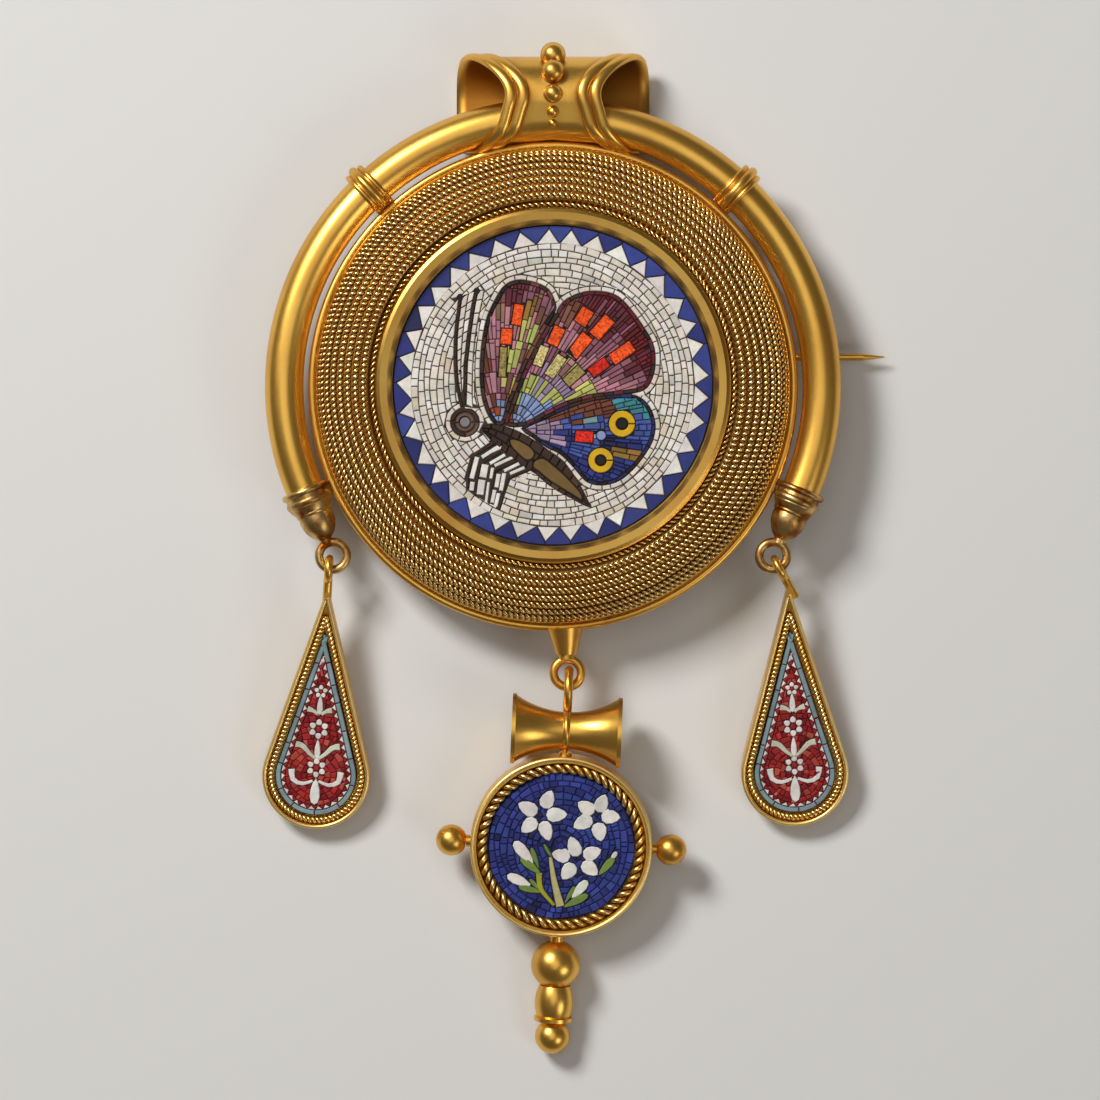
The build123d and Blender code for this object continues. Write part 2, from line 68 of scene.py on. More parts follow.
# Sizes read from the frame, in millimetres
MOSAIC_R = node_box("butterfly_mosaic")[1][0]
MOSAIC_FOOT = node_box("butterfly_mosaic")[0][2]
FLOWER_R = (node_box("flower_mosaic")[1][1] - node_box("flower_mosaic")[0][1]) / 2
BEZEL_R = node_box("bezel")[1][0]
BORDER_TOP = node_box("rope_border")[1][2]
DISC_R = node_box("case")[1][0]

RING_STEPS = 240  # sections round a full circle of plain wire or sheet
SEAT = 0.03  # gap between solids that are soldered or set into each other

# Domed border
GROOVE = 0.57  # width of the groove beside the bezel
SHEET = 0.4
LEDGE_DROP = 0.32  # the groove's ledge under the dome's crest
FOOT_RISE = 0.57  # the dome's foot over the mosaic's foot
CASE_WALL = 0.35
CASE_WIRE_R = 0.3  # plain rim wire of the case
ROPE_LAP = 0.01  # how far the outermost rope laps over that wire
INSIDE_SHARES = (0.9, 0.84)  # the sheet's inside, as shares of the dome's width and rise
UNDER_ROPE_SHADE = 0.95  # painted shade on the sheet under the ropes
SHEET_SHADE = 0.35  # lighter painted shade on the rest of the sheet
SHADE_SHIFT = 0.05  # how far outside the dome's own edges the two meet

# Bail
TUBE_R = 1.45
BAIL_R = 3.05  # larger round of its section, behind
STRAP = 0.25
NEAR_R = TUBE_R + SEAT + STRAP  # smaller round, at the tube
BAIL_RISE = 1.6  # distance from the tube's middle to the larger round's
BAIL_CUT_R = 7.3  # curve that the strap's ends are cut to
BAIL_STEPS = 200  # points round its section
RIM_H = 0.25  # how far its edge wires stand out
RIM_T = 0.22  # half of their thickness
RIM_W = 0.84  # width of one
RIM_GAP = 0.14  # gap between two
GRANULE_SHARES = (0.312, 0.288, 0.235, 0.148, 0.102)  # radii, as shares of the larger round's
GRANULE_START = np.radians(62)  # angle of the largest on that round
GRANULE_LIFT = 0.44  # height of a middle over the strap, in the granule's own radii
GRANULE_SPREAD = 1.06  # distance between two, in the sum of their radii
WIRE_EDGE = 0.06  # how far from a wire's edge the strap's painted shade changes
SHADE_FADE = (0.3, 0.75)  # where it fades out behind the wires
STRAP_SHADE = (0, 0.1, 0.95, 0.1, 0.9, 0.75, 0.25, 0)  # painted shade in the grooves by the wires, from the strap's end inwards, at all these places
INNER_SHADE = 0.75  # painted shade on the strap's inside
END_SHADE = 0.1  # painted shade on its ends

# Drops
TEAR_ROPE_R = 0.28
TEAR_ROPE_OUT = 0.35  # how far a teardrop's rope runs outside its mosaic
ROUND_ROPE_R = 0.42
FRAME_R = 6.85  # outside of the round drop's frame
TEAR_R = 4.05  # outside of a teardrop's frame, at its round end
EDGE_WIRE_R = 0.16  # plain wire on a frame's outer edge
EDGE_SINK = 0.03  # how deep its middle lies under the frame's top
EDGE_END = 0.2  # how far from a teardrop's tip it ends

# Painted shade of twisted wires: where it starts, in rope radii from the rope's line, and over how much it grows
STRAND_SHADE = (0.95, 0.33)
ROPE_SHADE = (0.72, 0.6)

# Tesserae
DARK_BED = 0.11  # depth of the dark cement under the figures
FOOT_DEPTH = 0.1  # how deep a piece stands in the cement
LEAST_FACE = 0.004  # smallest face, in square millimetres
BEVEL_SHARE = 0.4  # widest bevel, as a share of a piece's thickness
SLIVER = 0.03  # a piece that reaches no farther than this past a cut is left out
OVERLAP = 0.01  # a piece that lies no deeper than this over a block is not cut
RING_WAVES = 7  # waves in each circle of a ground
RING_SHIFT = 1.9  # turn of the waves from one circle to the next, in radians

# Drawing of the main mosaic: its centre and radius in the drawing's own units, y downwards
CHART_CENTRE = (727, 788)
CHART_R = 678
CHART_MM = MOSAIC_R / CHART_R

# Drawing of the round drop's mosaic, in the same way
POSY_CENTRE = (675, 1060)
POSY_R = 362
POSY_MM = FLOWER_R / POSY_R

# Main mosaic
FIELD_R = MOSAIC_R * 0.885  # white field
TEETH = 37
TOOTH_DEPTH = 1.12
WHITE_RINGS = 24  # most rings in the white field
FOLLOW = 0.38  # width of the row of white that follows the figure
LINE_HALF = 0.12  # half the width of feelers and legs
FAN_START = 0.5  # first radius of the fan of rods on a wing
FAN_GROWTH = 1.55  # growth of the radius from which the fan's lines divide again
SHORTEST_ROD = 0.12

# Teardrops' mosaics
TEAR_BAND = 0.43  # width of the blue-grey edge
TEAR_INNER = 0.78  # from the rim to the teeth's tips
TEAR_TOOTH = 0.62  # width of a tooth

# Materials: depth of the relief, and scales of their noises in patterns a metre
RELIEF = 0.02 * MM
PATCHES, FINE_PATCHES = 160.0, 700.0
FLECKS, GRAIN, STREAKS = 900.0, 5200.0, 1700.0
CLOUDS, PITS, FLAKES = 1300.0, 7000.0, 9000.0

# Picture
VIEW_MIDDLE = (-0.225 * MM, -12.3 * MM)
VIEW_LEVEL = 5 * MM  # height at which the view's width is measured
LAMPS = {  # place and size in metres
    "key": ((-0.24, 0.26, 0.36), 0.14),
    "top": ((-0.03, 0.04, 0.62), 0.42),
    "fill": ((0.3, -0.24, 0.32), 0.2),
}
ROOM_LIGHT = (1.0, 0.9, 0.78)
FLOOR_REACH = 3000.0

# Colours, as plain screen values from 0 to 1
PAINT = {
    "white": (0.88, 0.84, 0.79),
    "petal": (0.90, 0.88, 0.85),
    "cobalt": (0.16, 0.19, 0.45),
    "royal": (0.20, 0.25, 0.54),
    "blue": (0.27, 0.34, 0.62),
    "deep_blue": (0.12, 0.13, 0.28),
    "light_blue": (0.52, 0.60, 0.76),
    "cyan": (0.30, 0.52, 0.68),
    "teal": (0.25, 0.55, 0.58),
    "sky": (0.50, 0.61, 0.63),
    "lilac": (0.60, 0.51, 0.62),
    "rose": (0.70, 0.48, 0.52),
    "mauve": (0.55, 0.34, 0.40),
    "plum": (0.38, 0.15, 0.20),
    "wine": (0.37, 0.08, 0.10),
    "fawn": (0.46, 0.29, 0.25),
    "umber": (0.22, 0.14, 0.10),
    "dusk": (0.32, 0.22, 0.15),
    "coal": (0.10, 0.07, 0.06),
    "leaf_line": (0.70, 0.70, 0.38),
    "cream": (0.78, 0.71, 0.46),
    "olive": (0.58, 0.51, 0.28),
    "ochre": (0.55, 0.42, 0.17),
    "orange": (0.95, 0.32, 0.04),
    "scarlet": (0.84, 0.14, 0.04),
    "yellow": (0.87, 0.68, 0.08),
    "head": (0.38, 0.29, 0.25),
    "head_light": (0.50, 0.49, 0.49),
    "ruby": (0.62, 0.15, 0.15),
    "brick": (0.69, 0.27, 0.21),
    "garnet": (0.50, 0.08, 0.10),
    "coral": (0.74, 0.33, 0.30),
    "leaf": (0.45, 0.55, 0.25),
    "stem": (0.74, 0.70, 0.48),
    "lime": (0.64, 0.63, 0.18),
    "mint": (0.82, 0.83, 0.74),
    "ash": (0.80, 0.78, 0.74),
    "sand": (0.83, 0.78, 0.69),
    "tan": (0.52, 0.39, 0.31),
    "tawny": (0.46, 0.35, 0.18),
    "brown": (0.45, 0.25, 0.18),
    "rust": (0.62, 0.28, 0.12),
    "grout": (0.24, 0.21, 0.18),
    "dark_grout": (0.12, 0.10, 0.10),
}

# Kinds of surface that the tesserae's material tells apart
ENAMEL, SPARKLE, BED, GLASS = 0.0, 1.0, 2.0, 3.0

# The butterfly's drawing: outlines, lines and spots in its own units
NARROW_WING = (
    (475, 948), (432, 860), (418, 740), (425, 620), (445, 510), (480, 430), (520, 368), (575, 343), (640, 350),
    (700, 375), (730, 420), (736, 478), (676, 580), (606, 720), (556, 850), (522, 950))
BIG_WING = (
    (524, 952), (556, 855), (606, 724), (676, 584), (737, 484), (775, 430), (850, 395), (930, 390), (1000, 410),
    (1060, 470), (1110, 540), (1150, 610), (1160, 680), (1150, 750), (1110, 808), (1000, 828), (880, 845),
    (780, 876), (700, 915), (610, 960))
HIND_WING = (
    (596, 966), (700, 912), (800, 868), (900, 838), (1000, 826), (1080, 832), (1132, 872), (1160, 945),
    (1150, 1020), (1110, 1090), (1060, 1150), (1000, 1195), (930, 1210), (870, 1195), (820, 1140), (760, 1080),
    (700, 1050), (640, 1008))
BODY = (
    (425, 968), (470, 952), (540, 968), (620, 1005), (700, 1058), (780, 1120), (850, 1225), (878, 1298),
    (800, 1262), (720, 1216), (640, 1152), (560, 1098), (500, 1052), (450, 1005))
BODY_TOP = ((425, 965), (470, 950), (540, 965), (620, 1002), (700, 1055), (780, 1115), (850, 1222), (880, 1290))
BODY_FOOT = ((430, 985), (460, 1018), (510, 1062), (570, 1108), (640, 1155), (720, 1220), (800, 1266), (880, 1300))
BODY_PATCHES = (
    ((547, 1019), (576, 1019), (624, 1044), (649, 1073), (641, 1098), (613, 1104), (576, 1073), (550, 1044)),
    ((652, 1107), (689, 1098), (732, 1129), (790, 1180), (845, 1240), (855, 1278), (800, 1245), (720, 1195),
     (667, 1152), (644, 1135)))
HEAD = (355, 945)
HEAD_RINGS = (24, 43, 62)
FEELERS = (
    ((334, 416), (318, 553), (314, 640), (318, 756), (330, 825), (343, 880)),
    ((403, 388), (390, 448), (380, 517), (371, 581), (364, 646), (357, 701), (357, 756), (355, 802), (353, 871)))
FEELER_BITS = ((353, 706), (332, 728))
WING_SIDE = ((436, 384), (426, 440), (408, 520), (394, 618), (388, 710), (386, 779), (386, 848), (390, 885))
LEGS = (
    ((496, 1021), (411, 1075), (387, 1095), (370, 1158), (367, 1223)),
    ((507, 1067), (434, 1112), (418, 1124), (408, 1181), (397, 1260)),
    ((573, 1107), (493, 1144), (482, 1152), (470, 1209), (456, 1291)),
    ((638, 1138), (544, 1178), (536, 1186), (519, 1237), (499, 1314)))
LEG_ROOM = (
    (490, 1013), (508, 1035), (560, 1070), (650, 1128), (644, 1143), (547, 1186), (528, 1238), (507, 1306),
    (455, 1284), (395, 1254), (362, 1218), (363, 1157), (381, 1091), (407, 1069))
# White rods between the legs: from, to and width
LEG_RODS = (
    ((425, 1095), (507, 1041), 16), ((459, 1121), (527, 1081), 14), ((479, 1130), (553, 1095), 14),
    ((519, 1152), (587, 1118), 14), ((544, 1164), (610, 1135), 14), ((567, 1192), (644, 1166), 15),
    ((455, 1076), (520, 1046), 12), ((408, 1090), (383, 1186), 20),
    ((388, 1195), (383, 1237), 20), ((442, 1121), (431, 1181), 30), ((428, 1186), (419, 1254), 30),
    ((473, 1135), (465, 1186), 14), ((456, 1195), (445, 1288), 12), ((499, 1161), (488, 1223), 18),
    ((482, 1229), (470, 1288), 16), ((522, 1158), (508, 1237), 18), ((499, 1243), (485, 1303), 16),
    ((533, 1106), (560, 1092), 12))

NARROW_SPOTS = (
    (480, 470, "tan"), (455, 540, "tan"), (450, 640, "brown"), (446, 750, "brown"), (448, 860, "brown"),
    (470, 590, "rose"), (475, 650, "rose"), (470, 710, "mauve"), (485, 770, "rose"), (490, 830, "rose"),
    (520, 420, "fawn"), (560, 390, "plum"), (620, 375, "plum"), (690, 420, "mauve"), (700, 465, "rose"),
    (610, 420, "mauve"), (545, 440, "fawn"), (657, 465, "ochre"), (634, 510, "leaf_line"), (606, 562, "leaf_line"),
    (584, 610, "leaf_line"), (567, 658, "leaf_line"), (553, 708, "leaf_line"), (541, 760, "leaf_line"),
    (531, 812, "leaf_line"), (495, 885, "light_blue"), (505, 920, "light_blue"), (465, 920, "rust"),
    (696, 492, "fawn"), (676, 535, "fawn"), (648, 580, "rose"), (625, 628, "mauve"), (606, 676, "fawn"),
    (592, 724, "rose"), (579, 775, "fawn"), (566, 822, "rose"), (550, 866, "fawn"), (505, 550, "rose"),
    (500, 780, "mauve"), (585, 560, "rose"))
BIG_SPOTS = (
    (760, 480, "fawn"), (800, 430, "brown"), (880, 410, "plum"), (1010, 450, "plum"), (1120, 740, "plum"),
    (1050, 700, "plum"), (930, 600, "plum"), (1010, 560, "plum"), (950, 420, "wine"), (1060, 520, "wine"),
    (1100, 580, "wine"), (1140, 700, "wine"), (1130, 620, "garnet"), (1090, 770, "mauve"), (1000, 720, "mauve"),
    (960, 640, "mauve"), (900, 640, "mauve"), (980, 590, "mauve"), (830, 530, "mauve"), (700, 600, "mauve"),
    (1040, 800, "rose"), (960, 800, "rose"), (900, 770, "rose"), (790, 560, "rose"), (760, 620, "rose"),
    (600, 700, "rose"), (640, 740, "rose"), (850, 790, "rose"), (720, 760, "lilac"), (690, 800, "lilac"),
    (760, 830, "lilac"), (770, 740, "leaf_line"), (640, 820, "leaf_line"), (700, 850, "leaf_line"),
    (820, 820, "leaf_line"), (880, 815, "leaf_line"), (570, 800, "leaf_line"), (660, 590, "fawn"),
    (580, 900, "light_blue"), (560, 880, "light_blue"), (620, 900, "light_blue"), (680, 870, "light_blue"),
    (545, 890, "brown"), (850, 700, "rose"), (880, 480, "mauve"), (720, 700, "mauve"), (860, 570, "fawn"))
HIND_SPOTS = (
    (700, 950, "lilac"), (660, 990, "lilac"), (720, 990, "lilac"), (750, 1010, "lilac"), (780, 900, "brown"),
    (850, 890, "brown"), (920, 880, "brown"), (960, 885, "brown"), (1010, 880, "teal"), (1095, 905, "teal"),
    (870, 930, "blue"), (820, 950, "blue"), (930, 960, "blue"), (830, 1040, "blue"), (880, 1060, "blue"),
    (1120, 960, "blue"), (1130, 1030, "blue"), (1090, 1010, "blue"), (900, 940, "sky"), (800, 1000, "cobalt"),
    (780, 1050, "cobalt"), (860, 1130, "cobalt"), (820, 1090, "cobalt"), (900, 1180, "cobalt"),
    (980, 1170, "cobalt"), (1000, 1110, "cobalt"), (1060, 1040, "cobalt"), (1100, 1090, "cobalt"),
    (1040, 1140, "cobalt"), (700, 1030, "deep_blue"), (960, 1040, "deep_blue"), (850, 1070, "cyan"),
    (1030, 1080, "ochre"))
# Wings: outline, root that the rods run from, rods' width and length, edge band, spots and colours of the edge
WINGS = {
    "narrow": (NARROW_WING, (500, 985), 0.34, 1.2, 0.3, NARROW_SPOTS, ["umber", "coal", "brown", "fawn"]),
    "big": (BIG_WING, (555, 975), 0.33, 1.35, 0.3, BIG_SPOTS, ["umber", "plum", "wine", "coal"]),
    "hind": (HIND_WING, (555, 985), 0.36, 0.95, 0.27, HIND_SPOTS, ["coal", "deep_blue", "umber", "cobalt"]),
}
# Bright blocks on the wings: wing, middle, width, length and colour
WING_BLOCKS = (
    ("narrow", 577, 490, 45, 92, "orange"), ("narrow", 530, 582, 52, 70, "orange"),
    ("narrow", 515, 690, 34, 130, "olive"),
    ("big", 858, 497, 60, 75, "orange"), ("big", 935, 542, 58, 105, "orange"), ("big", 740, 580, 52, 85, "orange"),
    ("big", 840, 620, 58, 112, "orange"), ("big", 1020, 650, 55, 110, "orange"), ("big", 922, 712, 50, 90, "scarlet"),
    ("big", 676, 664, 44, 92, "cream"), ("big", 738, 708, 48, 105, "cream"), ("big", 815, 748, 50, 95, "olive"),
    ("hind", 860, 1005, 52, 80, "scarlet"))
# Eyes on the hind wing: middle, outer and inner radius
WING_EYES = ((1020, 950, 58, 25), (930, 1105, 55, 23))
PALE_SPOT = (932, 1000, 22)

# The round drop's drawing: flowers with their middle and their petals' middles
POSIES = (
    ((575, 905), ((608, 830), (515, 873), (520, 955), (600, 980), (650, 903))),
    ((850, 905), ((800, 870), (873, 850), (915, 912), (863, 985), (785, 940))),
    ((760, 1120), ((740, 1065), (825, 1095), (815, 1168), (712, 1183), (678, 1105))))
# Buds and leaves: from, to, width and colour
POSY_SPRIGS = (
    ((448, 1040), (525, 1132), 62, "petal"), ((478, 1118), (562, 1188), 46, "leaf"),
    ((528, 1066), (562, 1160), 30, "leaf"),
    ((414, 1205), (518, 1254), 56, "petal"), ((468, 1262), (566, 1286), 38, "leaf"),
    ((520, 1222), (568, 1276), 26, "leaf"),
    ((802, 1234), (738, 1306), 52, "petal"), ((806, 1302), (702, 1356), 44, "leaf"),
    ((742, 1258), (698, 1336), 28, "leaf"),
    ((948, 1088), (922, 1126), 30, "petal"), ((934, 1118), (870, 1192), 44, "leaf"),
    ((590, 1048), (628, 1115), 22, "leaf"))
# Stems: points, width at their start and at their end, and colour
POSY_STEMS = (
    (((622, 1112), (640, 1230), (672, 1362)), 22, 46, "stem"),
    (((566, 1190), (575, 1270), (642, 1356)), 36, 20, "lime"))

# The teardrops' drawing, in millimetres from the middle of the round end
# Flowers: height, distance, length and width of the petals, their number, and the core's radius
TEAR_FLOWERS = (
    (6.5, 0.34, 0.4, 0.38, 5, 0.15), (3.6, 0.53, 0.52, 0.5, 6, 0.24), (0.6, 0.52, 0.5, 0.48, 6, 0.24))
# Buds: height, length and width
TEAR_BUDS = ((5.35, 1.35, 0.5), (1.95, 1.4, 0.5), (-1.35, 1.85, 0.8))
# Leaves on the right: points, width at their start and at their end, and colour
TEAR_LEAVES = (
    (((0.12, 4.7), (0.45, 4.98), (0.95, 5.12)), 0.22, 0.5, "mint"),
    (((0.1, 1.3), (0.6, 1.7), (1.15, 2.25), (1.7, 2.35)), 0.26, 0.54, "mint"),
    (((0.2, -0.4), (1.0, -0.68), (1.72, -0.38), (1.86, 0.42)), 0.24, 0.54, "petal"))


def linear(colour):
    """Linear colour of a plain screen colour, with the usual screen curve."""
    value = np.asarray(colour, float)
    return np.where(value <= 0.04045, value / 12.92, ((value + 0.055) / 1.055) ** 2.4)


def length_property(name, description, size):
    """A length with its default in millimetres."""
    return FloatProperty(name=name, description=description, default=size * MM, unit="LENGTH", precision=6)


def colour_property(name, description, shade):
    """A colour with its default as a plain screen colour."""
    return FloatVectorProperty(
        name=name, description=description, subtype="COLOR", size=3, default=tuple(linear(shade)), min=0, max=1)


class RopeSizes(bpy.types.PropertyGroup):
    """Sizes of the twisted wires."""

    wire_r: length_property("Rope radius", "Radius of a rope of the domed border", 0.285)
    pitch: length_property("Row pitch", "Distance between two ropes of the domed border", 0.6)
    lay: length_property("Lay", "Length of one full turn of a border rope", 0.86)
    inner_r: length_property("Thin rope radius", "Radius of the thin rope beside the bezel", 0.2)
    inner_lay: length_property("Thin rope lay", "Length of one full turn of the thin rope", 0.9)
    tear_lay: length_property("Teardrop lay", "Length of one full turn of a teardrop's rope", 0.68)
    round_lay: length_property("Round lay", "Length of one full turn of the round drop's rope", 1.4)
    sides: IntProperty(name="Sides", description="Sides of a strand's section", default=7, min=3, max=16)
    steps: IntProperty(name="Steps", description="Sections in one full turn", default=10, min=6, max=32)


class MosaicSizes(bpy.types.PropertyGroup):
    """Sizes of the tesserae."""

    joint: length_property("Joint", "Width of the joint between two tesserae", 0.085)
    edge: length_property("Worn edge", "Width of the bevel round a tessera's face", 0.05)
    uneven: length_property("Unevenness", "How far a face may lie under the highest ones", 0.07)
    tilt: FloatProperty(
        name="Tilt", description="Usual tilt of a face", default=np.radians(1.8), subtype="ANGLE")
    bed: length_property("Bed depth", "Depth of the cement under the faces", 0.13)
    row: length_property("Row", "Height of a row of the white ground", 0.475)
    piece: length_property("Piece", "Length of a piece of the white ground", 0.84)
    seed: IntProperty(name="Seed", description="Start of the random draws", default=7)


class MetalColours(bpy.types.PropertyGroup):
    """Colours of the gold, and the floor's."""

    gold: colour_property("Gold", "Bright satin gold", (0.95, 0.745, 0.35))
    pale: colour_property("Pale gold", "Gold of the twisted wires", (1.0, 0.87, 0.56))
    dull: colour_property("Dull gold", "Gold of the bezel", (0.77, 0.62, 0.31))
    deep: colour_property("Deep gold", "Gold in worn and shaded places", (0.66, 0.38, 0.10))
    # Colour of the painted shade between rope strands and beside the bail's wires, and of the dark patina in the
    # caps' worn patches
    shade_and_patina: colour_property("Hollows", "Dirt between the strands of a rope", (0.53, 0.28, 0.02))
    aged: colour_property("Aged gold", "Darkened gold of the tube's caps", (0.85, 0.72, 0.46))
    floor: colour_property("Floor", "Pale floor", (0.86, 0.855, 0.84))


class StageSizes(bpy.types.PropertyGroup):
    """Camera and lights."""

    lens: FloatProperty(name="Lens", description="Focal length in millimetres", default=180.0)
    view_width: length_property("View width", "Width that the picture shows at the disc", 82.5)
    key: FloatProperty(name="Key light", description="Power of the main light", default=2.25, unit="POWER")
    top: FloatProperty(name="Top light", description="Power of the light over the brooch", default=0.45, unit="POWER")
    fill: FloatProperty(name="Fill light", description="Power of the light opposite", default=0.35, unit="POWER")
    room: FloatProperty(name="Room", description="Strength of the light all round", default=0.11)


def to_mm(size):
    """A property's length in millimetres."""
    return size / MM


# Flat geometry of outlines and paths


def flat_cross(first, second):
    """Height of the cross product of flat vectors."""
    return first[..., 0] * second[..., 1] - first[..., 1] * second[..., 0]


def left_of(vectors):
    """Flat vectors turned a quarter to the left."""
    return np.stack([-vectors[..., 1], vectors[..., 0]], axis=-1)


def polar(radius, angle):
    """Flat points at a distance and an angle from the middle."""
    return np.stack([radius * np.cos(angle), radius * np.sin(angle)], axis=-1)


def unit(vectors):
    """Vectors of length one."""
    return vectors / np.maximum(np.linalg.norm(vectors, axis=-1, keepdims=True), 1e-12)


def circle(centre, radius, corners=12, turn=0.0):
    """Regular polygon."""
    return np.asarray(centre) + polar(radius, np.linspace(0, TAU, corners, endpoint=False) + turn)


def chart(points, centre=CHART_CENTRE, chart_r=CHART_R, real_r=MOSAIC_R):
    """Points of a drawing in millimetres: moved to its centre, turned upright and scaled to the mosaic."""
    moved = np.asarray(points, float) - centre
    return moved * (1, -1) * real_r / chart_r


def posy(points):
    """Points of the round drop's drawing in millimetres."""
    return chart(points, POSY_CENTRE, POSY_R, FLOWER_R)


def cubic(before, near, far, beyond, samples):
    """Points on the cubics from near to far, whose slope at either end joins that end's two neighbours."""
    share = np.linspace(0, 1, samples, endpoint=False)[:, None, None]
    curve = 0.5 * (
        2 * near + share * (far - before) + share**2 * (2 * before - 5 * near + 4 * far - beyond)
        + share**3 * (3 * near - before - 3 * far + beyond))
    return curve.transpose(1, 0, 2).reshape(-1, 2)


def smooth_loop(points, samples=8):
    """Closed curve through the points that turns to the left."""
    here = np.asarray(points, float)
    before, ahead, beyond = (np.roll(here, shift, axis=0) for shift in (1, -1, -2))
    loop = cubic(before, here, ahead, beyond, samples)
    turning = flat_cross(loop, np.roll(loop, -1, axis=0)).sum()
    return loop if turning > 0 else loop[::-1]


def smooth_path(points, samples=12):
    """Open curve through the points, whose ends are carried on straight to find the slopes there."""
    here = np.asarray(points, float)
    padded = np.concatenate([[2 * here[0] - here[1]], here, [2 * here[-1] - here[-2]]])
    curve = cubic(padded[:-3], padded[1:-2], padded[2:-1], padded[3:], samples)
    return np.concatenate([curve, here[-1:]])


def runs_of(path, closed):
    """The path, closed where asked, with the length run at each of its points."""
    line = np.concatenate([path, path[:1]]) if closed else path
    steps = np.linalg.norm(np.diff(line, axis=0), axis=1)
    return line, np.concatenate([[0], np.cumsum(steps)])


def walk(path, places, closed=False, reach=0.02):
    """Points, unit tangents and right-hand normals of a path at lengths run, by straight interpolation."""
    line, runs = runs_of(path, closed)
    total = runs[-1]

    def at(run):
        run = np.mod(run, total) if closed else np.clip(run, 0, total)
        return np.stack([np.interp(run, runs, line[:, axis]) for axis in range(line.shape[1])], axis=-1)

    places = np.asarray(places, float)
    tangent = at(places + reach) - at(places - reach)
    tangent /= np.maximum(np.linalg.norm(tangent, axis=-1, keepdims=True), 1e-9)
    return at(places), tangent, -left_of(tangent)


def walk_beside(path, offset, samples=60):
    """Open path at an offset to the right of another."""
    points, _, right = walk(path, np.linspace(0, length_of(path), samples))
    return points + right * offset


def length_of(path, closed=False):
    """Length of a path."""
    return runs_of(path, closed)[1][-1]


def distance_to(points, outline):
    """Distance to a closed outline, below 0 inside it, with the nearest point on it and the way out of it."""
    near, far = outline, np.roll(outline, -1, axis=0)
    edge = far - near
    reach = points[:, None, :] - near
    share = np.clip((reach * edge).sum(2) / np.maximum((edge**2).sum(1), 1e-12), 0, 1)
    foot = near + share[..., None] * edge
    gap = np.linalg.norm(points[:, None, :] - foot, axis=2)
    best = gap.argmin(1)
    rows = np.arange(len(points))
    nearest = foot[rows, best]
    x, y = points[:, :1], points[:, 1:]
    rise = np.where(np.abs(edge[:, 1]) < 1e-12, 1e-12, edge[:, 1])
    crosses = ((near[:, 1] > y) != (far[:, 1] > y)) & (x < edge[:, 0] * (y - near[:, 1]) / rise + near[:, 0])
    inside = crosses.sum(1) % 2 == 1
    distance = np.where(inside, -1, 1) * np.maximum(gap[rows, best], 1e-9)
    return distance, nearest, (points - nearest) / distance[:, None]


# Tesserae as flat polygons: arrays of pieces, corners and x, y


def area_of(pieces):
    """Signed area of each polygon, above 0 where its corners run to the left."""
    return 0.5 * flat_cross(pieces, np.roll(pieces, -1, axis=1)).sum(1)


def thickness_of(pieces):
    """About the radius of the largest circle inside each polygon: twice its area over its outline's length."""
    around_it = np.linalg.norm(pieces - np.roll(pieces, 1, axis=1), axis=2).sum(1)
    return np.maximum(2 * area_of(pieces) / np.maximum(around_it, 1e-6), 1e-4)


def shrink(pieces, gap):
    """Every edge moved inwards by a gap: a corner moves along the sum of its two edges' inward normals.

    Where corners coincide, the edges on either side of them count.
    """
    edge = np.roll(pieces, -1, axis=1) - pieces
    size = np.linalg.norm(edge, axis=2, keepdims=True)
    inward = np.where(size > 1e-3, left_of(edge) / np.maximum(size, 1e-9), 0)
    before = np.roll(inward, 1, axis=1)
    for _ in range(pieces.shape[1]):
        inward = np.where((inward == 0).all(2, keepdims=True), np.roll(inward, -1, axis=1), inward)
        before = np.where((before == 0).all(2, keepdims=True), np.roll(before, 1, axis=1), before)
    spread = np.maximum(1 + (inward * before).sum(2, keepdims=True), 0.45)
    return pieces + gap * (inward + before) / spread


def packed(pieces):
    """Polygons whose corners that coincide with the one before go last, cut to the most corners that any needs."""
    own = np.linalg.norm(pieces - np.roll(pieces, 1, axis=1), axis=2) > 1e-4
    own[~own.any(1), 0] = True
    order = np.argsort(~own, axis=1, kind="stable")
    count = own.sum(1)
    last = np.take_along_axis(order, count[:, None] - 1, axis=1)
    order = np.where(np.arange(pieces.shape[1]) < count[:, None], order, last)
    return np.take_along_axis(pieces, order[..., None], axis=1)[:, :count.max()]


def cut_off(pieces, height):
    """The part of each polygon where a height given at its corners is above 0, cut along a straight line.

    Every corner is doubled. Those below move along their edges to where the height is 0.
    """
    low = height < 0

    def meet(turn):
        other, other_height = np.roll(pieces, turn, axis=1), np.roll(height, turn, axis=1)
        share = height / np.where(height == other_height, -1, height - other_height)
        point = pieces + (other - pieces) * share[..., None]
        return np.where((low & (other_height >= 0))[..., None], point, np.nan)

    before, ahead = meet(1), meet(-1)
    between = (np.nanmean(np.where(np.isnan(before), ahead, before), axis=1, keepdims=True)
               + np.nanmean(np.where(np.isnan(ahead), before, ahead), axis=1, keepdims=True)) / 2
    first = np.where(np.isnan(before), ahead, before)
    second = np.where(np.isnan(ahead), before, ahead)
    first, second = (np.where(np.isnan(point), between, point) for point in (first, second))
    doubled = np.stack([np.where(low[..., None], first, pieces), np.where(low[..., None], second, pieces)], axis=2)
    return packed(doubled.reshape(len(pieces), -1, 2))


